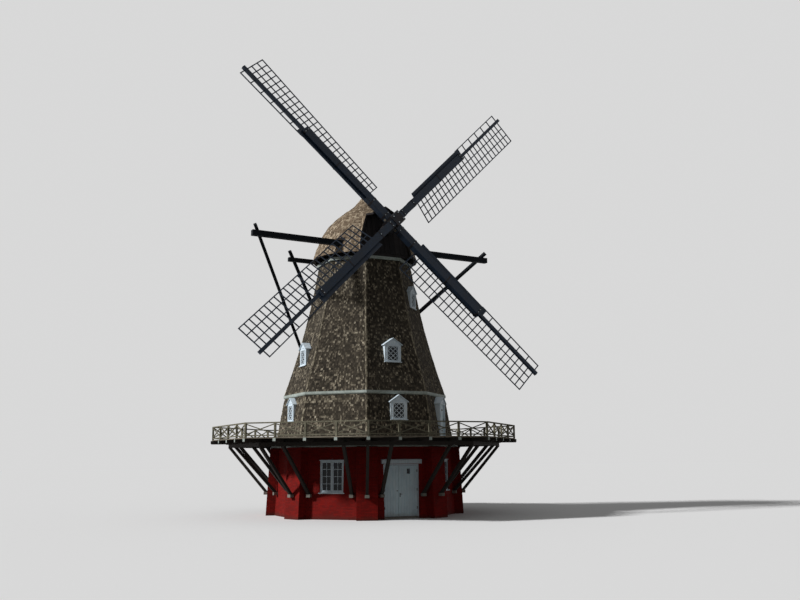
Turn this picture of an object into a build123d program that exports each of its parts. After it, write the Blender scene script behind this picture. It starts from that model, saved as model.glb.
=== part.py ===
# Gallery windmill: a battered masonry base with corner piers, an octagonal smock clad in shingles,
# a railed gallery on struts, and a cap that turns into the wind with its four lattice sails.
#
# Millimetres, +Z up. The origin is the tower's axis at ground level, and the entrance faces -Y.
# A face or corner is named by its turn about the axis, counted from the entrance towards +X.

import os
from math import atan, cos, degrees, pi, radians, sin, sqrt, tan

from build123d import *

os.makedirs("parts", exist_ok=True)

# Octagon
half_side_angle = 22.5
square_faces = (0, 90, 180, 270)
diagonal_faces = (45, 135, 225, 315)

# Masonry base, sized by the apothem of its eight sides
base_apothem = 4500
base_inner_apothem = 3950
base_height = 3820
batter = 3.0
pier_reach_ground = 5130
pier_reach_top = 4950
pier_width = 1000
cornice_apothem = 4564
cornice_bottom = 3420
cornice_top = 3640
ground_floor_thickness = 100

# Entrance with two leaves that open inwards
doorway_width = 1900
doorway_height = 2580
door_frame_width = 60
door_frame_depth = 150
door_frame_face = 4350
leaf_thickness = 50
leaf_face = 4335
leaf_bottom = 112
meeting_line = -136
leaf_gap = 8
door_light_width = 200
door_light_height = 270
door_light_centre = (400, 2240)
hood_width = 2150
hood_height = 240
hood_depth = 170

# Windows of the base
base_window_width = 1240
base_window_height = 1530
base_window_sill = 1250
base_window_face = 4360
window_frame_depth = 110
window_frame_width = 75
glass_thickness = 16

# Gallery
deck_bottom = 3820
deck_thickness = 40
deck_apothem = 7440
beam_width = 150
beam_height = 180
beam_end_apothem = 7490
bearer_apothem = 6560
bearer_width = 160
bearer_height = 180
strut_size = 140
strut_foot_height = 1180
strut_foot_spread = 1120
block_size = (210, 220, 140)
rail_apothem = 7391
bays_per_side = 4
post_size = 90
rail_top = 4560
top_rail_height = 60
bottom_rail_height = 55
bottom_rail_bottom = 3925
brace_size = 44

# Skirt and smock, sized by the apothem of their outer faces
wall_thickness = 180
smock_lengths = 6
skirt_apothem_bottom = 4296
skirt_apothem_top = 3945
band_bottom = 6000
band_top = 6160
band_apothem = 4012
smock_apothem_bottom = 3960
smock_apothem_middle = 3060
smock_middle_height = 9300
smock_apothem_top = 2310
smock_top = 13170
top_band_apothem = 2414
top_band_top = 13330
floor_thickness = 60

# Windows of the smock: upright boxes with a gabled head
dormer_width = 900
dormer_frame_height = 900
dormer_gable_height = 300
dormer_opening = (560, 720)
dormer_projection = 25
lower_sill = 4720
middle_sill = 7620
upper_sill = 10720
gallery_door_height = 1790
gallery_door_opening = (640, 1640)

# Cap, turned to face the wind
cap_turn = 3.494
curb_radius = 2250
curb_inner_radius = 1950
curb_height = 60
curb_segments = 24
cap_gap = 10
cap_ring_height = 120
roof_thickness = 110
roof_ribs = 24
roof_foot = 13450
gable_front = 2480
gable_ridge = 16060
hood_foot = 15550
hood_front = 2420
breast_setback = 90
breast_thickness = 60
sheer_offset = 1000
sheer_width = 200
sheer_height = 170
long_beam_forward = 1470
long_beam_height = 14000
long_beam_half = 7070
long_beam_size = 280
short_beam_back = 2500
short_beam_half = 3500
short_beam_size = 220
tail_end_back = 6160
tail_end_height = 5600
tail_joint_back = 5886
tail_joint_height = 6256
tail_size = 200
brace_thickness = 160
long_brace_at = 6720
short_brace_at = 3200
brace_lap = 200
brace_head = 450

# Windshaft and sails
shaft_tilt = 12.83
hub_forward = 3348
hub_height = 15003
shaft_radius = 250
shaft_length = 4250
shaft_sides = 16
poll_size = 660
poll_front = 500
poll_back = 480
sail_turn = 44.15
stock_offset = 200
stock_half = 6650
stock_width = 400
stock_depth = 380
sail_reach = 11080
whip_width = 180
whip_depth = 160
rung_count = 26
rung_pitch = 357
last_rung = 10870
rung_width = 55
rung_depth = 36
lath_width = 50
lath_depth = 44
lattice_width = 1420
leading_width = 450
twist_inner = 20.0
twist_tip = 6.5
board_end = 6800
board_thickness = 30
board_lengths = 4

# Planes that the pieces are drawn on
# profile_plane: x outwards from the entrance face, y up
profile_plane = Plane(origin=(0, 0, 0), x_dir=(0, -1, 0), z_dir=(-1, 0, 0))
cap_plane = Plane.XY.rotated((0, 0, cap_turn))


def batter_at(height):
    """Apothem of the base's outer face at a height."""
    return base_apothem - height * tan(radians(batter))


def skirt_at(height):
    """Apothem of the skirt's outer face at a height."""
    share = (height - base_height) / (band_bottom - base_height)
    return skirt_apothem_bottom + share * (skirt_apothem_top - skirt_apothem_bottom)


def octagon_corner(apothem):
    """Radius of an octagon's corners."""
    return apothem / cos(radians(half_side_angle))


def octagon_side(profile, gap=0):
    """A length with this profile on the entrance side, mitred at the octagon's corners."""
    apex = gap / 2 / sin(radians(half_side_angle))
    reach = 9500
    spread = (reach - apex) * tan(radians(half_side_angle))
    with BuildPart() as side:
        extrude(profile, amount=spread, both=True)
        with BuildSketch(Plane.XY):
            Polygon((0, -apex), (-spread, -reach), (spread, -reach), align=None)
        extrude(amount=20000, mode=Mode.INTERSECT)
    return side.part


def profile_of(*points):
    """A closed profile in distance from the axis and height."""
    with BuildSketch(profile_plane) as profile:
        with BuildLine():
            Polyline(*points, close=True)
        make_face()
    return profile.sketch


def turned(angles):
    """Locations that turn a piece about the tower's axis."""
    return [Location((0, 0, 0), (0, 0, angle)) for angle in angles]


def around(piece, angles):
    """Copies of one piece turned about the tower's axis."""
    with BuildPart() as ring:
        with Locations(*turned(angles)):
            add(piece)
    return ring.part


all_faces = [45 * side for side in range(8)]
all_corners = [45 * side + half_side_angle for side in range(8)]


# Ground floor with the threshold
with BuildPart() as ground_floor:
    with BuildSketch():
        RegularPolygon(base_inner_apothem, 8, major_radius=False, rotation=half_side_angle)
        with Locations((0, -(base_inner_apothem + door_frame_face) / 2)):
            Rectangle(doorway_width, door_frame_face - base_inner_apothem)
    extrude(amount=ground_floor_thickness)
ground_floor.part.label = "ground_floor"
export_step(ground_floor.part, "parts/ground_floor.step")


# Base walls: one plain side, then the doorway and the windows cut through it
base_side = octagon_side(profile_of(
    (base_inner_apothem, 0),
    (base_apothem, 0),
    (batter_at(base_height), base_height),
    (base_inner_apothem, base_height),
))

with BuildPart() as base_walls_plain:
    add(around(base_side, square_faces[1:]))
base_walls_plain.part.label = "base_walls_plain"
export_step(base_walls_plain.part, "parts/base_walls_plain.step")

with BuildPart() as windowed_side:
    add(base_side)
    with BuildSketch(Plane.XZ.offset(base_inner_apothem - 100)):
        with Locations((0, base_window_sill + base_window_height / 2)):
            Rectangle(base_window_width, base_window_height)
    extrude(amount=800, mode=Mode.SUBTRACT)
with BuildPart() as base_walls_windowed:
    add(around(windowed_side.part, diagonal_faces))
base_walls_windowed.part.label = "base_walls_windowed"
export_step(base_walls_windowed.part, "parts/base_walls_windowed.step")

doorway_half = doorway_width / 2
corner_reach = 3000


def wall_part(left, right, low, high):
    """What the entrance side's wall holds between two uprights and two levels."""
    with BuildPart() as wall:
        add(base_side)
        with BuildSketch(Plane.XZ.offset(base_inner_apothem - 100)):
            with Locations(((left + right) / 2, (low + high) / 2)):
                Rectangle(right - left, high - low)
        extrude(amount=800, mode=Mode.INTERSECT)
    return wall.part


with BuildPart() as entrance_wall_left:
    add(wall_part(-corner_reach, -doorway_half, 0, base_height))
entrance_wall_left.part.label = "entrance_wall_left"
export_step(entrance_wall_left.part, "parts/entrance_wall_left.step")

with BuildPart() as entrance_wall_right:
    add(wall_part(doorway_half, corner_reach, 0, base_height))
entrance_wall_right.part.label = "entrance_wall_right"
export_step(entrance_wall_right.part, "parts/entrance_wall_right.step")

with BuildPart() as entrance_wall_top:
    add(wall_part(-doorway_half, doorway_half, doorway_height, base_height))
entrance_wall_top.part.label = "entrance_wall_top"
export_step(entrance_wall_top.part, "parts/entrance_wall_top.step")


# Corner piers that follow the batter
with BuildPart() as pier:
    with BuildSketch(profile_plane):
        with BuildLine():
            Polyline(
                (base_inner_apothem, 0),
                (pier_reach_ground, 0),
                (pier_reach_top, cornice_bottom),
                (base_inner_apothem, cornice_bottom),
                close=True,
            )
        make_face()
    extrude(amount=pier_width / 2, both=True)
    with BuildSketch(Plane.XY):
        RegularPolygon(base_apothem, 8, major_radius=False)
    extrude(amount=cornice_bottom, taper=batter, mode=Mode.SUBTRACT)
with BuildPart() as corner_piers:
    add(around(pier.part, all_corners))
corner_piers.part.label = "corner_piers"
export_step(corner_piers.part, "parts/corner_piers.step")


# Cornice board that the gallery beams rest on
cornice_side = octagon_side(profile_of(
    (batter_at(cornice_bottom), cornice_bottom),
    (cornice_apothem, cornice_bottom),
    (cornice_apothem, cornice_top),
    (batter_at(cornice_top), cornice_top),
), gap=6)
with BuildPart() as base_cornice:
    add(around(cornice_side, all_faces))
base_cornice.part.label = "base_cornice"
export_step(base_cornice.part, "parts/base_cornice.step")


# Entrance frame and the hood board over it
with BuildPart() as entrance_frame:
    with BuildSketch(Plane.XZ.offset(door_frame_face - door_frame_depth)):
        with Locations((0, doorway_height / 2 + ground_floor_thickness / 2)):
            Rectangle(doorway_width, doorway_height - ground_floor_thickness)
        with Locations((0, (doorway_height - door_frame_width) / 2)):
            Rectangle(
                doorway_width - 2 * door_frame_width,
                doorway_height - door_frame_width,
                mode=Mode.SUBTRACT,
            )
    extrude(amount=door_frame_depth)
entrance_frame.part.label = "entrance_frame"
export_step(entrance_frame.part, "parts/entrance_frame.step")

with BuildPart() as entrance_hood:
    hood_bottom = doorway_height + 20
    hood_back = batter_at(hood_bottom + hood_height) - 40
    with BuildSketch(profile_plane):
        with BuildLine():
            Polyline(
                (hood_back, hood_bottom),
                (hood_back + hood_depth, hood_bottom),
                (hood_back + hood_depth, hood_bottom + hood_height - 40),
                (hood_back, hood_bottom + hood_height),
                close=True,
            )
        make_face()
    extrude(amount=hood_width / 2, both=True)
    with BuildSketch(Plane.XY):
        RegularPolygon(base_apothem, 8, major_radius=False, rotation=half_side_angle)
    extrude(amount=base_height, taper=batter, mode=Mode.SUBTRACT)
entrance_hood.part.label = "entrance_hood"
export_step(entrance_hood.part, "parts/entrance_hood.step")


# Door leaves, closed at rest
def door_leaf(left, right):
    """One leaf of ledged boards between two upright edges."""
    top = doorway_height - door_frame_width - leaf_gap
    with BuildPart() as leaf:
        with BuildSketch(Plane.XZ.offset(leaf_face - leaf_thickness)):
            with Locations(((left + right) / 2, (leaf_bottom + top) / 2)):
                Rectangle(right - left, top - leaf_bottom)
        extrude(amount=leaf_thickness)
        chamfer(leaf.faces().sort_by(Axis.Y)[0].edges(), 6)
    return leaf.part


leaf_edge = doorway_half - door_frame_width - leaf_gap
with BuildPart() as door_left:
    add(door_leaf(-leaf_edge, meeting_line - leaf_gap / 2))
door_left.part.label = "door_left"
export_step(door_left.part, "parts/door_left.step")

with BuildPart() as door_right:
    add(door_leaf(meeting_line + leaf_gap / 2, leaf_edge))
    with BuildSketch(Plane.XZ.offset(leaf_face - 2 * leaf_thickness)):
        with Locations(door_light_centre):
            Rectangle(door_light_width, door_light_height)
    extrude(amount=4 * leaf_thickness, mode=Mode.SUBTRACT)
door_right.part.label = "door_right"
export_step(door_right.part, "parts/door_right.step")

with BuildPart() as door_light:
    with BuildSketch(Plane.XZ.offset(leaf_face - leaf_thickness + 10)):
        with Locations(door_light_centre):
            Rectangle(door_light_width, door_light_height)
    extrude(amount=10)
door_light.part.label = "door_light"
export_step(door_light.part, "parts/door_light.step")


# Base windows: a frame with a middle post, and its two sheets of glass
window_middle = base_window_sill + base_window_height / 2
light_width = (base_window_width - 3 * window_frame_width) / 2
light_height = base_window_height - 2 * window_frame_width
light_offset = (light_width + window_frame_width) / 2

with BuildPart() as base_window:
    with BuildSketch(Plane.XZ.offset(base_window_face - window_frame_depth)):
        with Locations((0, window_middle)):
            Rectangle(base_window_width, base_window_height)
        with Locations((-light_offset, window_middle), (light_offset, window_middle)):
            Rectangle(light_width, light_height, mode=Mode.SUBTRACT)
    extrude(amount=window_frame_depth)
with BuildPart() as base_window_frames:
    add(around(base_window.part, diagonal_faces))
base_window_frames.part.label = "base_window_frames"
export_step(base_window_frames.part, "parts/base_window_frames.step")

with BuildPart() as base_panes:
    with BuildSketch(Plane.XZ.offset(base_window_face - 65)):
        with Locations((-light_offset, window_middle), (light_offset, window_middle)):
            Rectangle(light_width, light_height)
    extrude(amount=glass_thickness)


# Gallery beams under every post, resting on the cornice and on the bearers
post_spacing = 2 * rail_apothem * tan(radians(half_side_angle)) / bays_per_side


def gallery_beam(across, start, end):
    """A beam square to the entrance side, at a distance across it."""
    with BuildPart() as beam:
        with BuildSketch(Plane.XY.offset(cornice_top)):
            with Locations((across, -(start + end) / 2)):
                Rectangle(beam_width, end - start)
        extrude(amount=beam_height)
        chamfer(beam.faces().sort_by(Axis.Y)[0].edges().sort_by(Axis.Z)[0], 40)
    return beam.part


beam_start = batter_at(cornice_top) + 3
side_beams = [gallery_beam(step * post_spacing, beam_start, beam_end_apothem) for step in (-1, 0, 1)]
corner_beam = gallery_beam(0, octagon_corner(beam_start), octagon_corner(beam_end_apothem))
with BuildPart() as gallery_beams:
    for beam in side_beams:
        add(around(beam, all_faces))
    add(around(corner_beam, all_corners))
gallery_beams.part.label = "gallery_beams"
export_step(gallery_beams.part, "parts/gallery_beams.step")

bearer_bottom = cornice_top - bearer_height
bearer_side = octagon_side(profile_of(
    (bearer_apothem - bearer_width / 2, bearer_bottom),
    (bearer_apothem + bearer_width / 2, bearer_bottom),
    (bearer_apothem + bearer_width / 2, cornice_top),
    (bearer_apothem - bearer_width / 2, cornice_top),
), gap=6)
with BuildPart() as gallery_bearers:
    add(around(bearer_side, all_faces))
gallery_bearers.part.label = "gallery_bearers"
export_step(gallery_bearers.part, "parts/gallery_bearers.step")


# Struts from a stone block in the wall up to the bearers
def strut(foot, top):
    """A square timber between two points, cut level at its foot and its top."""
    run = Vector(*top) - Vector(*foot)
    start = Vector(*foot) - run.normalized() * strut_size * 2
    with BuildPart() as timber:
        with BuildSketch(Plane(origin=start, x_dir=(1, 0, 0), z_dir=run)):
            Rectangle(strut_size, strut_size)
        extrude(amount=run.length + strut_size * 4)
        split(bisect_by=Plane.XY.offset(strut_foot_height), keep=Keep.TOP)
        split(bisect_by=Plane.XY.offset(bearer_bottom), keep=Keep.BOTTOM)
    return timber.part


def block(across, wall):
    """The stone that a strut stands on, let into the wall's face."""
    width, depth, height = block_size
    with BuildPart() as stone:
        with BuildSketch(Plane.XY.offset(strut_foot_height - height)):
            with Locations((across, -wall - depth / 2)):
                Rectangle(width, depth)
        extrude(amount=height)
    return stone.part


foot_wall = batter_at(strut_foot_height - block_size[2])
pier_face = pier_reach_ground - (pier_reach_ground - pier_reach_top) * strut_foot_height / cornice_bottom
foot_out = 107
side_struts = [
    strut(
        (side * strut_foot_spread, -foot_wall - foot_out, strut_foot_height),
        (side * post_spacing, -bearer_apothem, bearer_bottom),
    )
    for side in (-1, 1)
]
corner_strut = strut(
    (0, -pier_face - foot_out, strut_foot_height),
    (0, -octagon_corner(bearer_apothem), bearer_bottom),
)
with BuildPart() as gallery_struts:
    for timber in side_struts:
        add(around(timber, all_faces))
    add(around(corner_strut, all_corners))
gallery_struts.part.label = "gallery_struts"
export_step(gallery_struts.part, "parts/gallery_struts.step")

with BuildPart() as strut_blocks:
    for side in (-1, 1):
        add(around(block(side * strut_foot_spread, foot_wall), all_faces))
    add(around(block(0, pier_face + 8), all_corners))
strut_blocks.part.label = "strut_blocks"
export_step(strut_blocks.part, "parts/strut_blocks.step")


# Deck and railing
deck_top = deck_bottom + deck_thickness
deck_side = octagon_side(profile_of(
    (skirt_apothem_bottom + 4, deck_bottom),
    (deck_apothem, deck_bottom),
    (deck_apothem, deck_top),
    (skirt_apothem_bottom + 4, deck_top),
), gap=8)
with BuildPart() as gallery_deck:
    add(around(deck_side, all_faces))
gallery_deck.part.label = "gallery_deck"
export_step(gallery_deck.part, "parts/gallery_deck.step")

rail_half = post_spacing * bays_per_side / 2
post_half_diagonal = post_size / 2 * (cos(radians(half_side_angle)) + sin(radians(half_side_angle)))
rail_end = rail_half - post_half_diagonal - 12
top_rail_bottom = rail_top - top_rail_height
bottom_rail_top = bottom_rail_bottom + bottom_rail_height
brace_foot = bottom_rail_top + 16
brace_top = top_rail_bottom - 16

with BuildPart() as rail_side:
    with BuildSketch(Plane.XY.offset(deck_top)):
        with Locations((0, -rail_apothem)):
            with GridLocations(post_spacing, 1, bays_per_side - 1, 1):
                Rectangle(post_size, post_size)
        with Locations(Location((-rail_half, -rail_apothem, 0), (0, 0, -half_side_angle))):
            Rectangle(post_size, post_size)
    extrude(amount=rail_top - deck_top)
    rail_centre = ((rail_end - rail_half) / 2, -rail_apothem)
    with BuildSketch(Plane.XY.offset(top_rail_bottom)):
        with Locations(rail_centre):
            Rectangle(rail_end + rail_half, post_size)
    extrude(amount=top_rail_height)
    with BuildSketch(Plane.XY.offset(bottom_rail_bottom)):
        with Locations(rail_centre):
            Rectangle(rail_end + rail_half, bottom_rail_height)
    extrude(amount=bottom_rail_height)
    with BuildSketch(Plane.XZ.offset(rail_apothem - brace_size / 2)):
        for bay in range(bays_per_side):
            left = (bay - bays_per_side / 2) * post_spacing
            right = min(left + post_spacing, rail_end - 8)
            with BuildLine():
                Line((left, brace_foot), (right, brace_top))
            trace(line_width=brace_size)
            with BuildLine():
                Line((left, brace_top), (right, brace_foot))
            trace(line_width=brace_size)
    extrude(amount=brace_size)
with BuildPart() as gallery_railing:
    add(around(rail_side.part, all_faces))
gallery_railing.part.label = "gallery_railing"
export_step(gallery_railing.part, "parts/gallery_railing.step")


# Windows and gallery doors stand upright in the sloping walls
def dormer_outline(sill, frame_height):
    """Outline of an upright window box with its gabled head, on the entrance side."""
    half = dormer_width / 2
    with BuildSketch(Plane.XZ) as outline:
        with BuildLine():
            Polyline(
                (-half, sill),
                (half, sill),
                (half, sill + frame_height),
                (0, sill + frame_height + dormer_gable_height),
                (-half, sill + frame_height),
                close=True,
            )
        make_face()
    return outline.sketch


def dormer_block(sill, frame_height, front):
    """The space that a window box takes up in the wall."""
    with BuildPart() as block_space:
        extrude(dormer_outline(sill, frame_height).moved(Location((0, -front + 700, 0))), amount=700)
    return block_space.part


def dormer(sill, frame_height, front, opening, depth):
    """An upright window box with its gabled head."""
    width, height = opening
    with BuildPart() as box:
        extrude(dormer_outline(sill, frame_height).moved(Location((0, -front + depth, 0))), amount=depth)
        with BuildSketch(Plane.XZ.offset(front - depth - 10)):
            with Locations((0, sill + frame_height / 2)):
                Rectangle(width, height)
        extrude(amount=depth + 20, mode=Mode.SUBTRACT)
    return box.part


def pane(sill, frame_height, front, opening, thickness):
    """A sheet that closes a window box's opening."""
    width, height = opening
    with BuildPart() as sheet:
        with BuildSketch(Plane.XZ.offset(front - 60 - thickness)):
            with Locations((0, sill + frame_height / 2)):
                Rectangle(width, height)
        extrude(amount=thickness)
    return sheet.part


# Smock profile: straight lengths along one arc that sweeps out towards the skirt
def smock_at(height):
    """Apothem of the smock's outer face at a height, on its arc."""
    x1, z1 = smock_apothem_bottom, band_top
    x2, z2 = smock_apothem_middle, smock_middle_height
    x3, z3 = smock_apothem_top, smock_top
    d = 2 * (x1 * (z2 - z3) + x2 * (z3 - z1) + x3 * (z1 - z2))
    s1, s2, s3 = x1 ** 2 + z1 ** 2, x2 ** 2 + z2 ** 2, x3 ** 2 + z3 ** 2
    centre_x = (s1 * (z2 - z3) + s2 * (z3 - z1) + s3 * (z1 - z2)) / d
    centre_z = (s1 * (x3 - x2) + s2 * (x1 - x3) + s3 * (x2 - x1)) / d
    radius = sqrt((x1 - centre_x) ** 2 + (z1 - centre_z) ** 2)
    return centre_x - sqrt(radius ** 2 - (height - centre_z) ** 2)


smock_steps = [band_top + (smock_top - band_top) * step / smock_lengths for step in range(smock_lengths + 1)]
smock_outside = [(smock_at(height), height) for height in smock_steps]
smock_inside = [(smock_at(height) - wall_thickness, height) for height in reversed(smock_steps)]
smock_side = octagon_side(profile_of(*smock_outside, *smock_inside))

skirt_side = octagon_side(profile_of(
    (skirt_apothem_bottom - wall_thickness, base_height),
    (skirt_apothem_bottom, base_height),
    (skirt_apothem_top, band_bottom),
    (skirt_apothem_top - wall_thickness, band_bottom),
))

lower_front = skirt_at(lower_sill) + dormer_projection
middle_front = smock_at(middle_sill) + dormer_projection
upper_front = smock_at(upper_sill) + dormer_projection
door_front = skirt_at(deck_top) + dormer_projection

with BuildPart() as skirt_window_side:
    add(skirt_side)
    add(dormer_block(lower_sill, dormer_frame_height, lower_front), mode=Mode.SUBTRACT)
with BuildPart() as skirt_walls_square:
    add(around(skirt_window_side.part, square_faces))
skirt_walls_square.part.label = "skirt_walls_square"
export_step(skirt_walls_square.part, "parts/skirt_walls_square.step")

with BuildPart() as skirt_door_side:
    add(skirt_side)
    add(dormer_block(deck_top, gallery_door_height, door_front), mode=Mode.SUBTRACT)
with BuildPart() as skirt_walls_diagonal:
    add(around(skirt_door_side.part, (45, 225)))
    add(around(skirt_side, (135, 315)))
skirt_walls_diagonal.part.label = "skirt_walls_diagonal"
export_step(skirt_walls_diagonal.part, "parts/skirt_walls_diagonal.step")

with BuildPart() as smock_middle_side:
    add(smock_side)
    add(dormer_block(middle_sill, dormer_frame_height, middle_front), mode=Mode.SUBTRACT)
with BuildPart() as smock_walls_square:
    add(around(smock_middle_side.part, square_faces))
smock_walls_square.part.label = "smock_walls_square"
export_step(smock_walls_square.part, "parts/smock_walls_square.step")

with BuildPart() as smock_upper_side:
    add(smock_side)
    add(dormer_block(upper_sill, dormer_frame_height, upper_front), mode=Mode.SUBTRACT)
with BuildPart() as smock_walls_diagonal:
    add(around(smock_upper_side.part, (45, 225)))
    add(around(smock_side, (135, 315)))
smock_walls_diagonal.part.label = "smock_walls_diagonal"
export_step(smock_walls_diagonal.part, "parts/smock_walls_diagonal.step")

dormer_depth = 400
window_rows = (
    (lower_sill, lower_front, square_faces),
    (middle_sill, middle_front, square_faces),
    (upper_sill, upper_front, (45, 225)),
)
with BuildPart() as smock_windows:
    for sill, front, faces in window_rows:
        add(around(dormer(sill, dormer_frame_height, front, dormer_opening, dormer_depth), faces))
smock_windows.part.label = "smock_windows"
export_step(smock_windows.part, "parts/smock_windows.step")

with BuildPart() as window_glass:
    add(around(base_panes.part, diagonal_faces))
    for sill, front, faces in window_rows:
        add(around(pane(sill, dormer_frame_height, front, dormer_opening, glass_thickness), faces))
window_glass.part.label = "window_glass"
export_step(window_glass.part, "parts/window_glass.step")

gallery_doorway = dormer(deck_top, gallery_door_height, door_front, gallery_door_opening, dormer_depth)
with BuildPart() as gallery_doorways:
    add(around(gallery_doorway, (45, 225)))
gallery_doorways.part.label = "gallery_doorways"
export_step(gallery_doorways.part, "parts/gallery_doorways.step")

gallery_door = pane(deck_top, gallery_door_height, door_front, gallery_door_opening, 45)
with BuildPart() as gallery_doors:
    add(around(gallery_door, (45, 225)))
gallery_doors.part.label = "gallery_doors"
export_step(gallery_doors.part, "parts/gallery_doors.step")


# Bands round the smock's foot and head, and the curb of straight segments
band_side = octagon_side(profile_of(
    (skirt_apothem_top - wall_thickness - 60, band_bottom),
    (band_apothem - 30, band_bottom),
    (band_apothem, band_bottom + 50),
    (band_apothem, band_top),
    (skirt_apothem_top - wall_thickness - 60, band_top),
), gap=4)
with BuildPart() as smock_band:
    add(around(band_side, all_faces))
smock_band.part.label = "smock_band"
export_step(smock_band.part, "parts/smock_band.step")

top_band_side = octagon_side(profile_of(
    (curb_inner_radius, smock_top),
    (top_band_apothem, smock_top),
    (top_band_apothem, top_band_top),
    (curb_inner_radius, top_band_top),
), gap=4)
with BuildPart() as smock_top_band:
    add(around(top_band_side, all_faces))
smock_top_band.part.label = "smock_top_band"
export_step(smock_top_band.part, "parts/smock_top_band.step")

with BuildPart() as curb:
    with BuildSketch(Plane.XY.offset(top_band_top)):
        RegularPolygon(curb_radius, curb_segments)
        RegularPolygon(curb_inner_radius, curb_segments, mode=Mode.SUBTRACT)
    extrude(amount=curb_height)
curb.part.label = "curb"
export_step(curb.part, "parts/curb.step")


# Floors: one at the gallery and one for each upper row of windows
upper_floor_height = 9700
upper_floor_inner = smock_at(upper_floor_height) - wall_thickness
upper_floor_rise = smock_at(upper_floor_height) - smock_at(upper_floor_height + floor_thickness)
upper_floor_slope = upper_floor_rise / floor_thickness
floors = (
    (base_height, skirt_at(deck_top) - wall_thickness - 2, deck_thickness, 0),
    (band_top, smock_at(band_top + floor_thickness) - wall_thickness - 2, floor_thickness, 0),
    (upper_floor_height, upper_floor_inner, floor_thickness, degrees(atan(upper_floor_slope)) + 0.3),
)
with BuildPart() as upper_floors:
    for height, apothem, thickness, slope in floors:
        with BuildSketch(Plane.XY.offset(height)):
            RegularPolygon(apothem, 8, major_radius=False, rotation=half_side_angle)
        extrude(amount=thickness, taper=slope)
upper_floors.part.label = "upper_floors"
export_step(upper_floors.part, "parts/upper_floors.step")


# Cap: ring, sheers and the roof with its flat breast
ring_bottom = top_band_top + curb_height + cap_gap
ring_top = ring_bottom + cap_ring_height
with BuildPart() as cap_ring:
    with BuildSketch(Plane.XY.offset(ring_bottom)):
        RegularPolygon(curb_radius, curb_segments)
        RegularPolygon(curb_inner_radius, curb_segments, mode=Mode.SUBTRACT)
    extrude(amount=cap_ring_height)
cap_ring.part.label = "cap_ring"
export_step(cap_ring.part, "parts/cap_ring.step")

sheer_top = ring_top + sheer_height
long_beam_bottom = long_beam_height - long_beam_size / 2
short_beam_bottom = sheer_top
with BuildPart() as cap_sheers:
    with BuildSketch(cap_plane.offset(ring_top)):
        with Locations((-sheer_offset, 125), (sheer_offset, 125)):
            Rectangle(sheer_width, 4750)
    extrude(amount=sheer_height)
    with BuildSketch(cap_plane.offset(sheer_top)):
        with Locations((-sheer_offset, -long_beam_forward), (sheer_offset, -long_beam_forward)):
            Rectangle(sheer_width, long_beam_size)
    extrude(amount=long_beam_bottom - sheer_top)
cap_sheers.part.label = "cap_sheers"
export_step(cap_sheers.part, "parts/cap_sheers.step")

# Onion roof: height and radius, with straight lengths between its ribs
roof_sections = (
    (roof_foot, 2870),
    (14000, 2700),
    (14400, 2520),
    (14830, 2360),
    (15340, 2030),
    (15780, 1610),
    (16190, 1110),
    (16490, 700),
    (16820, 400),
    (17250, 90),
)

# Front gable: height and half width below its ridge
gable_sections = (
    (roof_foot, 1540),
    (14000, 1480),
    (14450, 1370),
    (14830, 1240),
    (15250, 1080),
    (hood_foot, 960),
)

# The gable leans back with the shaft
gable_plane = Plane(
    origin=(0, -gable_front, roof_foot),
    x_dir=(1, 0, 0),
    z_dir=(0, -cos(radians(shaft_tilt)), sin(radians(shaft_tilt))),
)


def onion(inset):
    """The round part of the roof as a solid, moved inwards by its thickness."""
    with BuildPart() as form:
        for (low, wide), (high, narrow) in zip(roof_sections, roof_sections[1:]):
            foot_radius = max(wide - inset, 20)
            lean_in = (foot_radius - max(narrow - inset, 20)) * cos(pi / roof_ribs)
            with BuildSketch(Plane.XY.offset(low - inset)):
                RegularPolygon(foot_radius, roof_ribs)
            extrude(amount=high - low, taper=degrees(atan(lean_in / (high - low))))
    return form.part


def gable(inset):
    """The gabled front of the roof as a solid that runs level towards the sails."""
    left = [(inset - half, height - inset) for height, half in gable_sections]
    right = [(-across, height) for across, height in reversed(left)]
    with BuildPart() as form:
        with BuildSketch(Plane.XZ.offset(1000)):
            Polygon(*left, (0, gable_ridge - inset), *right, align=None)
        extrude(amount=2000)
    return form.part


def bar(start, end, width, depth, x_dir=(1, 0, 0)):
    """A straight timber in the cap's frame, from one point to another."""
    run = Vector(*end) - Vector(*start)
    with BuildPart() as timber:
        with BuildSketch(Plane(origin=start, x_dir=x_dir, z_dir=run)):
            Rectangle(width, depth)
        extrude(amount=run.length)
    return timber.part


def in_cap(piece):
    """A piece drawn towards -Y, turned to the way that the cap faces."""
    return piece.moved(Location((0, 0, 0), (0, 0, cap_turn)))


beam_top = long_beam_height + long_beam_size / 2
long_beam = bar(
    (-long_beam_half, -long_beam_forward, long_beam_height),
    (long_beam_half, -long_beam_forward, long_beam_height),
    long_beam_size, long_beam_size, x_dir=(0, 1, 0),
)
short_beam_height = short_beam_bottom + short_beam_size / 2
short_beam = bar(
    (-short_beam_half, short_beam_back, short_beam_height),
    (short_beam_half, short_beam_back, short_beam_height),
    short_beam_size, short_beam_size, x_dir=(0, 1, 0),
)
with BuildPart() as cross_beams:
    add(in_cap(long_beam))
    add(in_cap(short_beam))
cross_beams.part.label = "cross_beams"
export_step(cross_beams.part, "parts/cross_beams.step")

tail_head_back = short_beam_back + short_beam_size / 2 + tail_size / 2 + 8
tail_slope = (tail_joint_back - tail_head_back) / (short_beam_height - tail_joint_height)
tail_head = (0, tail_head_back - 150 * tail_slope, short_beam_height + 150)
tail_end = (0, tail_joint_back + (tail_joint_height - tail_end_height) * tail_slope, tail_end_height)
with BuildPart() as tail_pole:
    add(in_cap(bar(tail_head, tail_end, tail_size, tail_size)))
    add(in_cap(short_beam), mode=Mode.SUBTRACT)
tail_pole.part.label = "tail_pole"
export_step(tail_pole.part, "parts/tail_pole.step")


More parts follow.
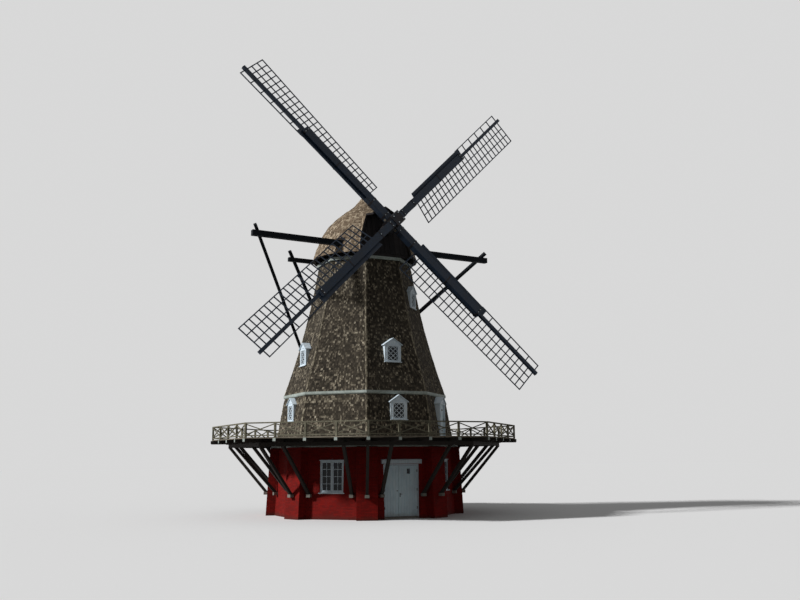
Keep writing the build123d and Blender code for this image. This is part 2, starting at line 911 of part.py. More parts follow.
def tail_brace(top, joint, beam):
    """A brace from the tail pole's side up over a beam, notched where it lies on the beam's edge."""
    run = Vector(*top) - Vector(*joint)
    side = 1 if top[0] > 0 else -1
    reach = Vector(*joint) - run.normalized() * 300
    with BuildPart() as brace:
        with BuildSketch(Plane(origin=reach, x_dir=(side, 0, 0), z_dir=run)):
            Rectangle(brace_thickness, brace_thickness)
        extrude(amount=run.length + 300 + brace_head)
        add(beam, mode=Mode.SUBTRACT)
        split(bisect_by=Plane.YZ.offset(side * tail_size / 2), keep=Keep.TOP if side > 0 else Keep.BOTTOM)
    return brace.part


short_joint_height = 9400
short_joint_back = tail_head_back + (short_beam_height - short_joint_height) * tail_slope
lap = brace_lap * sqrt(0.5)
with BuildPart() as tail_braces:
    for side in (-1, 1):
        add(in_cap(tail_brace(
            (side * long_brace_at, -long_beam_forward + lap, long_beam_height + lap),
            (0, tail_joint_back, tail_joint_height), long_beam,
        )))
        add(in_cap(tail_brace(
            (side * short_brace_at, short_beam_back + lap, short_beam_height + lap),
            (0, short_joint_back, short_joint_height), short_beam,
        )))
tail_braces.part.label = "tail_braces"
export_step(tail_braces.part, "parts/tail_braces.step")

# The hood carries the top of the gable forwards over the shaft
with BuildPart() as hood:
    with BuildSketch(Plane.XY.offset(hood_foot)):
        Polygon((-960, -1500), (-960, -2020), (-720, -hood_front), (720, -hood_front),
                (960, -2020), (960, -1500), align=None)
    extrude(amount=600)
    add(gable(0), mode=Mode.INTERSECT)

with BuildPart() as roof_hollow:
    add(onion(roof_thickness))
    add(gable(roof_thickness))

with BuildPart() as roof_shell:
    add(onion(0))
    add(gable(0))
    split(bisect_by=gable_plane, keep=Keep.BOTTOM)
    add(hood.part)
    add(roof_hollow.part, mode=Mode.SUBTRACT)
    add(long_beam, mode=Mode.SUBTRACT)
    add(short_beam, mode=Mode.SUBTRACT)
    add(bar(tail_head, tail_end, tail_size, tail_size), mode=Mode.SUBTRACT)
with BuildPart() as cap_roof:
    add(in_cap(roof_shell.part))
    add(cap_sheers.part, mode=Mode.SUBTRACT)
cap_roof.part.label = "cap_roof"
export_step(cap_roof.part, "parts/cap_roof.step")

# Windshaft frame: x across, y up in the plane of the sails, z forwards along the shaft
shaft_forward = Vector(
    sin(radians(cap_turn)) * cos(radians(shaft_tilt)),
    -cos(radians(cap_turn)) * cos(radians(shaft_tilt)),
    sin(radians(shaft_tilt)),
)
shaft_across = Vector(cos(radians(cap_turn)), sin(radians(cap_turn)), 0)
hub = Vector(
    hub_forward * sin(radians(cap_turn)),
    -hub_forward * cos(radians(cap_turn)),
    hub_height,
)
hub_plane = Plane(origin=hub, x_dir=shaft_across, z_dir=shaft_forward)

with BuildPart() as breast_wall:
    add(roof_hollow.part)
    with BuildSketch(gable_plane.offset(-breast_setback - breast_thickness)):
        Rectangle(8000, 9000)
    extrude(amount=breast_thickness, mode=Mode.INTERSECT)
with BuildPart() as cap_breast:
    add(in_cap(breast_wall.part))
    with BuildSketch(hub_plane.offset(-3000)):
        RegularPolygon(shaft_radius + 30, shaft_sides, major_radius=False)
    extrude(amount=5000, mode=Mode.SUBTRACT)
cap_breast.part.label = "cap_breast"
export_step(cap_breast.part, "parts/cap_breast.step")

saddle_clearance = 6
with BuildPart() as shaft_bearings:
    with BuildSketch(cap_plane.offset(beam_top)):
        with Locations((0, -long_beam_forward)):
            Rectangle(900, long_beam_size)
    extrude(amount=430)
    with BuildSketch(cap_plane.offset(sheer_top)):
        with Locations((0, 700)):
            Rectangle(2 * sheer_offset + sheer_width, 260)
    extrude(amount=400)
    with BuildSketch(hub_plane.offset(-5000)):
        RegularPolygon(shaft_radius + saddle_clearance, shaft_sides, major_radius=False)
    extrude(amount=5000, mode=Mode.SUBTRACT)
shaft_bearings.part.label = "shaft_bearings"
export_step(shaft_bearings.part, "parts/shaft_bearings.step")


# Windshaft with the poll end that both stocks pass through
def stock_plane(turn, offset):
    """x out along a stock, y towards the next sail, z forwards."""
    return Plane(
        origin=hub + shaft_forward * offset,
        x_dir=shaft_across * cos(radians(turn)) + hub_plane.y_dir * sin(radians(turn)),
        z_dir=shaft_forward,
    )


outer_plane = stock_plane(sail_turn, stock_offset)
inner_plane = stock_plane(sail_turn + 90, -stock_offset)

with BuildPart() as windshaft:
    with BuildSketch(outer_plane.offset(-stock_offset - poll_back)):
        Rectangle(poll_size, poll_size)
    extrude(amount=poll_back + poll_front)
    chamfer(windshaft.faces().sort_by(Axis(hub, shaft_forward))[-1].edges(), 60)
    with BuildSketch(hub_plane.offset(-shaft_length)):
        RegularPolygon(shaft_radius, shaft_sides)
    extrude(amount=shaft_length - poll_back)
    for plane in (outer_plane, inner_plane):
        with BuildSketch(plane.offset(-stock_depth / 2)):
            Rectangle(2 * poll_size, stock_width)
        extrude(amount=stock_depth, mode=Mode.SUBTRACT)
windshaft.part.label = "windshaft"
export_step(windshaft.part, "parts/windshaft.step")


# Stocks: a heavy middle timber that thins to the whips at its ends
def stock(plane):
    """One timber through the poll end, carrying a sail at each end."""
    with BuildPart() as timber:
        with BuildSketch(plane.offset(-stock_depth / 2)):
            Rectangle(2 * stock_half, stock_width)
        extrude(amount=stock_depth)
        with BuildSketch(plane.offset(-whip_depth / 2)):
            Rectangle(2 * sail_reach, whip_width)
        extrude(amount=whip_depth)
    return timber.part


with BuildPart() as outer_stock:
    add(stock(outer_plane))
outer_stock.part.label = "outer_stock"
export_step(outer_stock.part, "parts/outer_stock.step")

with BuildPart() as inner_stock:
    add(stock(inner_plane))
inner_stock.part.label = "inner_stock"
export_step(inner_stock.part, "parts/inner_stock.step")


# Sails: rungs on straight lines, so that laths stay straight along the twisted surface
first_rung = last_rung - (rung_count - 1) * rung_pitch


def sail_point(along, share):
    """A point of the twisted sail: distance along the stock, share of the lattice's width."""
    mix = (along - first_rung) / (last_rung - first_rung)
    across = lattice_width * (cos(radians(twist_inner)) * (1 - mix) + cos(radians(twist_tip)) * mix)
    back = lattice_width * (sin(radians(twist_inner)) * (1 - mix) + sin(radians(twist_tip)) * mix)
    return Vector(along, -share * across, -share * back)


def sail_bar(plane, start, end, width, depth, facing):
    """A bar of the sail between two points, its width along facing."""
    here = plane.from_local_coords(start)
    there = plane.from_local_coords(end)
    flat = plane.from_local_coords(start + facing) - here
    with BuildPart() as piece:
        with BuildSketch(Plane(origin=here, x_dir=flat, z_dir=there - here)):
            Rectangle(width, depth)
        extrude(amount=(there - here).length)
    return piece.part


def trailing_lattice(plane):
    """Rungs and three laths on the sail's trailing side."""
    rungs = [first_rung + step * rung_pitch for step in range(rung_count)]
    pieces = []
    for along in rungs:
        pieces.append(sail_bar(
            plane, sail_point(along, 0), sail_point(along, 1), rung_width, rung_depth, Vector(1, 0, 0)
        ))
    for share in (0.345, 0.67, 1.0):
        start = sail_point(first_rung - rung_width / 2, share)
        end = sail_point(last_rung + rung_width / 2, share)
        slope = sail_point(6500, 1) - sail_point(6500, 0)
        pieces.append(sail_bar(plane, start, end, lath_width, lath_depth, slope))
    with BuildPart() as lattice:
        add(pieces)
        add(stock(plane), mode=Mode.SUBTRACT)
    return lattice.part


def leading_side(plane):
    """Solid wind boards on the inner part of the leading side, an open ladder beyond."""
    pieces = []
    outer = -leading_width / lattice_width
    for step in range(7):
        along = last_rung - 2 * step * rung_pitch
        pieces.append(sail_bar(
            plane, sail_point(along, 0), sail_point(along, outer), rung_width, rung_depth, Vector(1, 0, 0)
        ))
    slope = sail_point(9000, 0) - sail_point(9000, -1)
    pieces.append(sail_bar(
        plane,
        sail_point(board_end - 300, outer),
        sail_point(last_rung + rung_width / 2, outer),
        lath_width, lath_depth, slope,
    ))
    board_length = (board_end - first_rung + 40) / board_lengths
    for length in range(board_lengths):
        start = first_rung - 40 + length * board_length
        slope = sail_point(start + board_length / 2, outer) - sail_point(start + board_length / 2, 0)
        middle = slope * 0.65
        pieces.append(sail_bar(
            plane,
            Vector(start, middle.Y, middle.Z),
            Vector(start + board_length + 20, middle.Y, middle.Z),
            slope.length * 0.7, board_thickness, slope,
        ))
    with BuildPart() as side:
        add(pieces)
        add(stock(plane), mode=Mode.SUBTRACT)
    return side.part


def opposite(plane):
    """The same plane for the sail at the stock's other end."""
    return Plane(origin=plane.origin, x_dir=-plane.x_dir, z_dir=plane.z_dir)


sail_planes = (outer_plane, inner_plane, opposite(outer_plane), opposite(inner_plane))
with BuildPart() as sail_lattice_1:
    add(trailing_lattice(sail_planes[0]))
sail_lattice_1.part.label = "sail_lattice_1"
export_step(sail_lattice_1.part, "parts/sail_lattice_1.step")

with BuildPart() as sail_lattice_2:
    add(trailing_lattice(sail_planes[1]))
sail_lattice_2.part.label = "sail_lattice_2"
export_step(sail_lattice_2.part, "parts/sail_lattice_2.step")

with BuildPart() as sail_lattice_3:
    add(trailing_lattice(sail_planes[2]))
sail_lattice_3.part.label = "sail_lattice_3"
export_step(sail_lattice_3.part, "parts/sail_lattice_3.step")

with BuildPart() as sail_lattice_4:
    add(trailing_lattice(sail_planes[3]))
sail_lattice_4.part.label = "sail_lattice_4"
export_step(sail_lattice_4.part, "parts/sail_lattice_4.step")

leading_sides = [leading_side(plane) for plane in sail_planes]
with BuildPart() as wind_boards:
    add(leading_sides)
wind_boards.part.label = "wind_boards"
export_step(wind_boards.part, "parts/wind_boards.step")
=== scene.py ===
# Gallery windmill: the looks of the masonry base, shingled smock, railed gallery, cap and sails.
# Metres, +Z up, the tower's axis at the origin and the entrance towards -Y.
import random
from math import cos, hypot, pi, radians, sin, sqrt, tan

import bpy
from mathutils import Matrix, Vector


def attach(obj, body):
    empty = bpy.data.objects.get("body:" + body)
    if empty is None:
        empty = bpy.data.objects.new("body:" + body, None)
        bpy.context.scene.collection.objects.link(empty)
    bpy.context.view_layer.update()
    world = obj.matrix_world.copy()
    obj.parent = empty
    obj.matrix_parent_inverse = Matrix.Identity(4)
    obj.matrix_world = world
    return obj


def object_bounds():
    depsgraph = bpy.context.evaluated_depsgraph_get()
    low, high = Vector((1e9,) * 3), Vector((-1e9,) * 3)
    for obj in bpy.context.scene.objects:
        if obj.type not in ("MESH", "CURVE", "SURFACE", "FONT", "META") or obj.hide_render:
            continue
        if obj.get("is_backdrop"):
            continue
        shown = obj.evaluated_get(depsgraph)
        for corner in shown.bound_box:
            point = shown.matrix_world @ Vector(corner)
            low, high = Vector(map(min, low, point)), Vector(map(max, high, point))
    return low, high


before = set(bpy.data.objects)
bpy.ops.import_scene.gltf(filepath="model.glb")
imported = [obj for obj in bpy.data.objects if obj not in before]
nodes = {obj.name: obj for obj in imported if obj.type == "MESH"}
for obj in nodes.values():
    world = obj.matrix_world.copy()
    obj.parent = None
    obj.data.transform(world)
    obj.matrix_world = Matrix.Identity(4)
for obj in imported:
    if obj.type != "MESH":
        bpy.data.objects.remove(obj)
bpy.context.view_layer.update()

scene = bpy.context.scene
sideTan = tan(radians(22.5))
sides = [45 * step for step in range(8)]
corners = [45 * step + 22.5 for step in range(8)]
print("frame loaded:", len(nodes), "nodes")


# Nodes and colours

def colour(code):
    # sRGB hex to linear, with alpha
    parts = [int(code[at:at + 2], 16) / 255 for at in (1, 3, 5)]
    return [c / 12.92 if c <= 0.04045 else ((c + 0.055) / 1.055) ** 2.4 for c in parts] + [1.0]


def addNode(tree, kind, inputs=None, take=0, **settings):
    # a shader node, its settings, and its inputs as values or sockets; gives the output that is taken
    node = tree.nodes.new("ShaderNode" + kind)
    for name, value in settings.items():
        setattr(node, name, value)
    for name, value in (inputs or {}).items():
        socket = node.inputs[name]
        if isinstance(value, bpy.types.NodeSocket):
            tree.links.new(value, socket)
        else:
            socket.default_value = value
    return node.outputs[take] if len(node.outputs) else None


def addRamp(tree, factor, tones):
    # tones: a hex colour for each place along the ramp
    ramp = addNode(tree, "ValToRGB", {"Fac": factor}, "Color")
    band, stops = ramp.node.color_ramp, list(tones.items())
    for element, (place, code) in zip(band.elements, (stops[0], stops[-1])):
        element.position, element.color = place, colour(code)
    for place, code in stops[1:-1]:
        band.elements.new(place).color = colour(code)
    return ramp


def mixed(tree, factor, under, over):
    # one colour laid over another
    return addNode(tree, "Mix", {"Factor": factor, "A": under, "B": over}, "Result", data_type="RGBA")


def spread(tree, value, source, target):
    # a value carried from one range to another
    return addNode(tree, "MapRange", {"Value": value, "From Min": source[0], "From Max": source[1],
                                      "To Min": target[0], "To Max": target[1]})


def emptyTree(owner):
    # the node tree of a material or world, ready for its own nodes
    owner.use_nodes = True
    owner.node_tree.nodes.clear()
    return owner.node_tree


texture = {"grain": (6.0, 0.62), "patches": (3.0, 0.55), "wornFrom": (0.38, 0.66), "wear": 0.4,
           "splashFoot": 0.02, "splashMost": 0.75, "roughFrom": (0.3, 0.7), "bump": 0.8, "sheen": 0.5}


def noise(tree, place, kind, sizeMm):
    # noise of one size, with the detail and roughness of its kind
    detail, roughness = texture[kind]
    return addNode(tree, "TexNoise", {"Vector": place, "Scale": 1000 / sizeMm, "Detail": detail,
                                      "Roughness": roughness}, "Fac")


def finish(name, look):
    # a surface from its tones, its grain in mm, and how rough and raised it is
    material = bpy.data.materials.new(name)
    tree = emptyTree(material)
    place = addNode(tree, "TexCoord", take="Object")
    stretched = addNode(tree, "Mapping", {"Vector": place, "Scale": look.get("stretch", (1, 1, 1))})
    grain = noise(tree, stretched, "grain", look["grainMm"])
    patches = noise(tree, place, "patches", look["patchMm"])
    factor = grain
    if look.get("pieces"):  # each board or shingle has a tone of its own
        island = addNode(tree, "NewGeometry", take="Random Per Island")
        factor = addNode(tree, "Mix", {0: look["pieces"], 2: grain, 3: island})
    wear = spread(tree, patches, texture["wornFrom"], (0.0, look.get("wear", texture["wear"])))
    skin = mixed(tree, wear, addRamp(tree, factor, look["tones"]), colour(look["worn"]))
    if look.get("foot"):  # splashed and greened near the ground
        reach, stain = look["foot"]
        height = addNode(tree, "SeparateXYZ", {0: place}, "Z")
        splash = addNode(tree, "Math", {0: patches, 1: reach}, operation="MULTIPLY")
        near = spread(tree, height, (texture["splashFoot"], splash), (texture["splashMost"], 0.0))
        skin = mixed(tree, near, skin, colour(stain))
    rough = spread(tree, grain, texture["roughFrom"], look["rough"])
    raised = addNode(tree, "Bump", {
        "Height": grain, "Distance": look["bumpMm"] / 1000, "Strength": texture["bump"]})
    shader = addNode(tree, "BsdfPrincipled", {
        "Base Color": skin, "Roughness": rough, "Normal": raised,
        "Specular IOR Level": look.get("sheen", texture["sheen"]), "Metallic": look.get("metal", 0.0)})
    addNode(tree, "OutputMaterial", {"Surface": shader})
    return material


# Materials

looks = {
    # Masonry paint brushed over brick: chalky oxblood, worn where rain splashes
    "paintedBrick": {
        "tones": {0.3: "#66100b", 0.5: "#79120d", 0.72: "#8b1811"}, "grainMm": 160,
        "patchMm": 1300, "worn": "#58120d", "wear": 0.5, "pieces": 0.3, "rough": (0.7, 0.9),
        "bumpMm": 3, "foot": (0.45, "#46241d"), "sheen": 0.15},
    # Split larch shingles, silvered by weather: matt, each its own brown or grey
    "weatheredShingle": {
        "tones": {0.28: "#27231e", 0.45: "#3c372f", 0.58: "#4d463c", 0.68: "#7b7262",
                  0.75: "#beb49f"},
        "grainMm": 28, "stretch": (1, 1, 0.25), "patchMm": 1500, "worn": "#453f36",
        "pieces": 0.42, "rough": (0.8, 0.97), "bumpMm": 6, "sheen": 0.12},
    # Hip shingles on the corners and a few skirt courses: pale and ragged, the pale tone a painted highlight
    # of edges catching the light
    "paintedHighlightShingle": {
        "tones": {0.2: "#4f493e", 0.5: "#797161", 0.8: "#b5ab96"}, "grainMm": 28,
        "stretch": (1, 1, 0.25), "patchMm": 700, "worn": "#4d463b", "wear": 0.6, "pieces": 0.7,
        "rough": (0.8, 0.97), "bumpMm": 4, "sheen": 0.12},
    # Younger larch shingles on the cap: still warm, greyed at the edges
    "capShingle": {
        "tones": {0.22: "#4c4034", 0.42: "#6f604f", 0.58: "#877764", 0.74: "#bcad96"},
        "grainMm": 28, "stretch": (1, 1, 0.3), "patchMm": 900, "worn": "#7c6b57", "wear": 0.35,
        "pieces": 0.5, "rough": (0.78, 0.95), "bumpMm": 4, "sheen": 0.15},
    # Boards under the shingles, seen only in the gaps: darkened to painted shade between the shingles
    "sheathing": {
        "tones": {0.35: "#1f1a17", 0.65: "#2d2622"}, "grainMm": 60, "patchMm": 900,
        "worn": "#181412", "rough": (0.8, 0.95), "bumpMm": 3, "sheen": 0.12},
    # Linseed oil paint on pine, bluish white: low sheen, faint brush marks
    "whitePaint": {
        "tones": {0.35: "#d0e0ec", 0.65: "#e4f0f8"}, "grainMm": 70, "stretch": (1, 1, 0.3),
        "patchMm": 700, "worn": "#bac6cd", "wear": 0.3, "rough": (0.42, 0.6), "bumpMm": 0.8},
    # The doors' oil paint: a bluer white, slightly dirty low down
    "doorPaint": {
        "tones": {0.35: "#cbe3ee", 0.65: "#dff1f9"}, "grainMm": 90, "stretch": (1, 1, 0.15),
        "patchMm": 800, "worn": "#b7c5cf", "rough": (0.4, 0.58), "bumpMm": 0.8,
        "foot": (0.7, "#8f9490")},
    # Trim boards painted pale grey-green, chalked by the sun
    "trimPaint": {
        "tones": {0.35: "#949e98", 0.65: "#b6bfb9"}, "grainMm": 120, "patchMm": 900,
        "worn": "#79827b", "wear": 0.55, "rough": (0.55, 0.75), "bumpMm": 1.2},
    # Unpainted oak gone silver grey: dry, grained
    "silveredOak": {
        "tones": {0.28: "#5d574c", 0.5: "#7d7567", 0.72: "#9b9383"}, "grainMm": 55,
        "patchMm": 600, "worn": "#4d483f", "wear": 0.5, "pieces": 0.3, "rough": (0.72, 0.9),
        "bumpMm": 2.5, "sheen": 0.2},
    # Railing of older, lichened oak: greenish grey, darker in the grain
    "lichenedOak": {
        "tones": {0.28: "#535045", 0.5: "#757160", 0.72: "#a09b86"}, "grainMm": 45,
        "patchMm": 500, "worn": "#3b3931", "wear": 0.5, "rough": (0.75, 0.92), "bumpMm": 2.5,
        "sheen": 0.15},
    # Struts and joists under the gallery: tarred long ago, brown black
    "darkOak": {
        "tones": {0.3: "#1b1815", 0.55: "#2b2622", 0.75: "#3d3630"}, "grainMm": 60,
        "patchMm": 700, "worn": "#161311", "rough": (0.68, 0.88), "bumpMm": 2.5,
        "sheen": 0.2},
    # Pine tarred black long ago: dull, cold, hardly any sheen left
    "tarredPine": {
        "tones": {0.3: "#0e1114", 0.55: "#161a1f", 0.8: "#222930"}, "grainMm": 60, "patchMm": 800,
        "worn": "#0b0d10", "rough": (0.78, 0.92), "bumpMm": 2, "sheen": 0.12},
    # Sail timbers in blue-black oil paint that has kept a low sheen
    "sailPaint": {
        "tones": {0.3: "#0c141f", 0.55: "#162537", 0.8: "#2b3f56"}, "grainMm": 50, "patchMm": 600,
        "worn": "#10161e", "wear": 0.5, "rough": (0.42, 0.65), "bumpMm": 1.5, "sheen": 0.3},
    # Tarred upright boards on the breast of the cap
    "tarredBoards": {
        "tones": {0.3: "#151314", 0.55: "#201d1e", 0.8: "#322e2e"}, "grainMm": 50,
        "stretch": (1, 1, 0.1), "patchMm": 600, "worn": "#111010", "pieces": 0.5,
        "rough": (0.7, 0.88), "bumpMm": 2.5, "sheen": 0.15},
    # Forged iron: rust-dark under black paint
    "forgedIron": {
        "tones": {0.3: "#15161a", 0.6: "#24262b", 0.82: "#4a3c34"}, "grainMm": 12, "patchMm": 250,
        "worn": "#3b2d26", "wear": 0.35, "rough": (0.45, 0.7), "bumpMm": 1, "metal": 0.8},
    # Galvanised bolt heads: pale grey, spangled
    "galvanisedSteel": {
        "tones": {0.35: "#7d8589", 0.65: "#a7aeb1"}, "grainMm": 15, "patchMm": 200,
        "worn": "#676d70", "rough": (0.35, 0.5), "bumpMm": 0.4, "metal": 0.9},
    # Hewn granite under the struts: pale, speckled
    "hewnGranite": {
        "tones": {0.3: "#615f59", 0.5: "#838078", 0.7: "#a5a198"}, "grainMm": 14, "patchMm": 180,
        "worn": "#6d6a62", "rough": (0.7, 0.9), "bumpMm": 3, "sheen": 0.25},
    # Floor slabs of the ground floor: worn concrete grey
    "stoneSlab": {
        "tones": {0.35: "#77736c", 0.65: "#918d85"}, "grainMm": 40, "patchMm": 500,
        "worn": "#5f5c56", "rough": (0.7, 0.88), "bumpMm": 2},
    # Old window glass, glossy, faintly uneven: opaque, its dark tone painted shade of the room behind and its
    # blue tint a painted sky reflection
    "windowGlass": {
        "tones": {0.3: "#0a121b", 0.7: "#14202d"}, "grainMm": 300, "patchMm": 400,
        "worn": "#0d1216", "wear": 0.5, "rough": (0.06, 0.14), "bumpMm": 1.0, "sheen": 0.2},
}
surface = {name: finish(name, look) for name, look in looks.items()}
print("materials:", len(surface))


# Shapes

class Shape:
    # gathers closed solids into one mesh
    def __init__(self):
        self.points = []
        self.faces = []

    def prism(self, near, far):
        # two loops of equal count, joined
        first, count = len(self.points), len(near)
        self.points += [tuple(p) for p in near] + [tuple(p) for p in far]
        self.faces.append(tuple(first + i for i in reversed(range(count))))
        self.faces.append(tuple(first + count + i for i in range(count)))
        for i in range(count):
            j = (i + 1) % count
            self.faces.append((first + i, first + j, first + count + j, first + count + i))

    def bar(self, start, end, width, depth, across):
        # a straight timber, its width along across
        run = (end - start).normalized()
        wide = (across - run * across.dot(run)).normalized()
        deep = run.cross(wide)
        w, d = width / 2, depth / 2
        near = [start + wide * a + deep * b for a, b in ((-w, -d), (w, -d), (w, d), (-w, d))]
        self.prism(near, [p + (end - start) for p in near])

    def wedge(self, low, high, lift, butt):
        # a shingle: low and high edges on the wall, its butt standing off along lift
        first = len(self.points)
        (a, b), (c, d) = low, high
        self.points += [tuple(p) for p in (a, b, a + lift * butt, b + lift * butt, c, d)]
        for face in ((2, 3, 5, 4), (0, 1, 3, 2), (0, 2, 4), (1, 5, 3), (0, 4, 5, 1)):
            self.faces.append(tuple(first + i for i in face))

    def disc(self, centre, axis, radius, length, count=12):
        # a short round bar along axis
        side = axis.orthogonal().normalized()
        other = axis.normalized().cross(side)
        turns = [2 * pi * i / count for i in range(count)]
        loop = [centre + (side * cos(turn) + other * sin(turn)) * radius for turn in turns]
        self.prism(loop, [p + axis.normalized() * length for p in loop])

    def make(self, name, material, body, slot=None, chamfer=0.0):
        mesh = bpy.data.meshes.new(name)
        mesh.from_pydata(self.points, [], self.faces)
        mesh.validate()
        mesh.materials.append(surface[material])
        obj = bpy.data.objects.new(name, mesh)
        scene.collection.objects.link(obj)
        if chamfer:
            edge = obj.modifiers.new("edge", "BEVEL")
            edge.width, edge.segments, edge.limit_method = chamfer, 1, "ANGLE"
        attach(obj, body)
        return obj


def onFace(angle, across, out, up):
    # a point before the octagon's face: across it to the right, out from the axis, up
    turn = radians(angle)
    return Vector((across * cos(turn) + out * sin(turn),
                   across * sin(turn) - out * cos(turn), up))


def faceBox(shape, angle, across, out, up):
    # a box before a face, from ranges across, out and up
    loops = [[onFace(angle, a, o, up[level]) for a, o in
              ((across[0], out[1]), (across[1], out[1]), (across[1], out[0]), (across[0], out[0]))]
             for level in (0, 1)]
    shape.prism(*loops)


def shifted(at, ends):
    # a range that is measured from a face or a height
    return at + ends[0], at + ends[1]


def faceFrame(shape, angle, across, out, up, rim):
    # four bars round a rectangle, inside its edges
    (left, right), (low, high) = across, up
    faceBox(shape, angle, (left, left + rim), out, up)
    faceBox(shape, angle, (right - rim, right), out, up)
    faceBox(shape, angle, (left + rim, right - rim), out, (low, low + rim))
    faceBox(shape, angle, (left + rim, right - rim), out, (high - rim, high))


def between(low, high, share):
    return low + (high - low) * share


def spans(start, end, size, spread, chance):
    # widths along a course, uneven by spread
    cuts, at = [start], start
    while at < end - size * 0.6:
        at += size * chance.uniform(1 - spread, 1 + spread)
        cuts.append(min(at, end))
    cuts[-1] = end
    return list(zip(cuts, cuts[1:]))


# Carried-over parts

partFinish = {
    "stoneSlab": "ground_floor",
    "paintedBrick": "entrance_wall_left entrance_wall_right entrance_wall_top base_walls_plain "
                    "base_walls_windowed corner_piers",
    "trimPaint": "base_cornice smock_band smock_top_band",
    "whitePaint": "entrance_frame entrance_hood base_window_frames smock_windows gallery_doorways",
    "doorPaint": "gallery_doors door_left door_right",
    # opaque panes: painted shade of the room behind, painted blue reflection of the sky
    "windowGlass": "window_glass door_light",
    "hewnGranite": "strut_blocks",
    "lichenedOak": "gallery_railing",
    "silveredOak": "gallery_deck upper_floors",
    "darkOak": "gallery_beams gallery_bearers gallery_struts curb cap_ring cap_sheers shaft_bearings",
    # walls under the shingles in painted shade, as dark as the gaps between the shingles
    "sheathing": "skirt_walls_square skirt_walls_diagonal smock_walls_square smock_walls_diagonal cap_roof",
    "tarredBoards": "cap_breast",
    "tarredPine": "cross_beams tail_pole tail_braces",
    "forgedIron": "windshaft",
    "sailPaint": "outer_stock inner_stock sail_lattice_1 sail_lattice_2 sail_lattice_3 sail_lattice_4 "
                 "wind_boards",
}
for look, names in partFinish.items():
    for name in names.split():
        data = nodes[name].data
        data.materials.clear()
        data.materials.append(surface[look])

# Beam ends painted pale, as under each post
beamEnd = 7.4  # farther from the axis than this, only the ends face outwards
beams = nodes["gallery_beams"].data
beams.materials.append(surface["trimPaint"])
for face in beams.polygons:
    if abs(face.normal.z) < 0.1 and face.normal.xy.dot(face.center.xy) > beamEnd:
        face.material_index = 1
print("carried-over parts painted")


# Smock and skirt shingles

wallSizes = {  # outer faces by their distance from the axis
    "skirt": ((4.296, 3.82), (3.945, 6.0)),
    "smockFoot": (3.96, 6.16), "smockMiddle": (3.06, 9.3), "smockHead": (2.31, 13.17),
    "lengths": 6,
}
shingle = {"width": 0.08, "exposure": 0.108, "length": 0.17, "butt": 0.013, "uneven": 0.4,
           "gap": 0.003, "drop": 0.012, "head": 0.002, "butts": (0.6, 1.3), "lift": (0.97, 0.24),
           "smock": (6.165, 13.165), "skirt": (3.87, 5.995),
           "paintedHighlight": (5.5, 5.72), "paintedHighlightSides": (270, 315), "paintedHighlightShare": 0.6}
dormer = {"half": 0.45, "height": 0.9, "gable": 0.3, "opening": (0.56, 0.72), "proud": 0.025,
          "sills": {"lower": 4.72, "middle": 7.62, "upper": 10.72}, "doorHeight": 1.79,
          "doorOpening": (0.64, 1.64), "doorSides": (45, 225), "deckTop": 3.86}


def clear(start, end, hole):
    # what is left of a stretch beside a hole, or nothing
    if hole:
        if start > hole[0] and end < hole[1]:
            return None
        if start < hole[0] < end:
            end = hole[0]
        if start < hole[1] < end:
            start = hole[1]
    return (start, end) if end - start >= 0.02 else None


def skirtOut(z):
    (low, bottom), (high, top) = wallSizes["skirt"]
    return between(low, high, (z - bottom) / (top - bottom))


def arcOut(z):
    # distance of the smock's arc from the axis
    (x1, z1), (x2, z2), (x3, z3) = wallSizes["smockFoot"], wallSizes["smockMiddle"], wallSizes["smockHead"]
    d = 2 * (x1 * (z2 - z3) + x2 * (z3 - z1) + x3 * (z1 - z2))
    s1, s2, s3 = x1 ** 2 + z1 ** 2, x2 ** 2 + z2 ** 2, x3 ** 2 + z3 ** 2
    cx = (s1 * (z2 - z3) + s2 * (z3 - z1) + s3 * (z1 - z2)) / d
    cz = (s1 * (x3 - x2) + s2 * (x1 - x3) + s3 * (x2 - x1)) / d
    return cx - sqrt((x1 - cx) ** 2 + (z1 - cz) ** 2 - (z - cz) ** 2)


def smockOut(z):
    # straight lengths along the arc
    foot, head, count = wallSizes["smockFoot"][1], wallSizes["smockHead"][1], wallSizes["lengths"]
    step = (head - foot) / count
    k = max(0, min(count - 1, int((z - foot) / step)))
    low = foot + k * step
    return between(arcOut(low), arcOut(low + step), (z - low) / step)


def dormersOn(angle):
    # sill height, frame height of what stands in this face
    rows = []
    if angle % 90 == 0:
        rows += [(dormer["sills"]["lower"], dormer["height"]), (dormer["sills"]["middle"], dormer["height"])]
    if angle in dormer["doorSides"]:
        rows += [(dormer["sills"]["upper"], dormer["height"]), (dormer["deckTop"], dormer["doorHeight"])]
    return rows


def blocked(angle, low, high):
    # half width of the window box between two heights, or nothing
    half = 0
    for sill, height in dormersOn(angle):
        eaves = sill + height
        if high > sill - 0.01 and low < eaves:
            half = max(half, dormer["half"])
        elif eaves <= low < eaves + dormer["gable"]:
            half = max(half, dormer["half"] * (1 - (low - eaves) / dormer["gable"]))
    return half


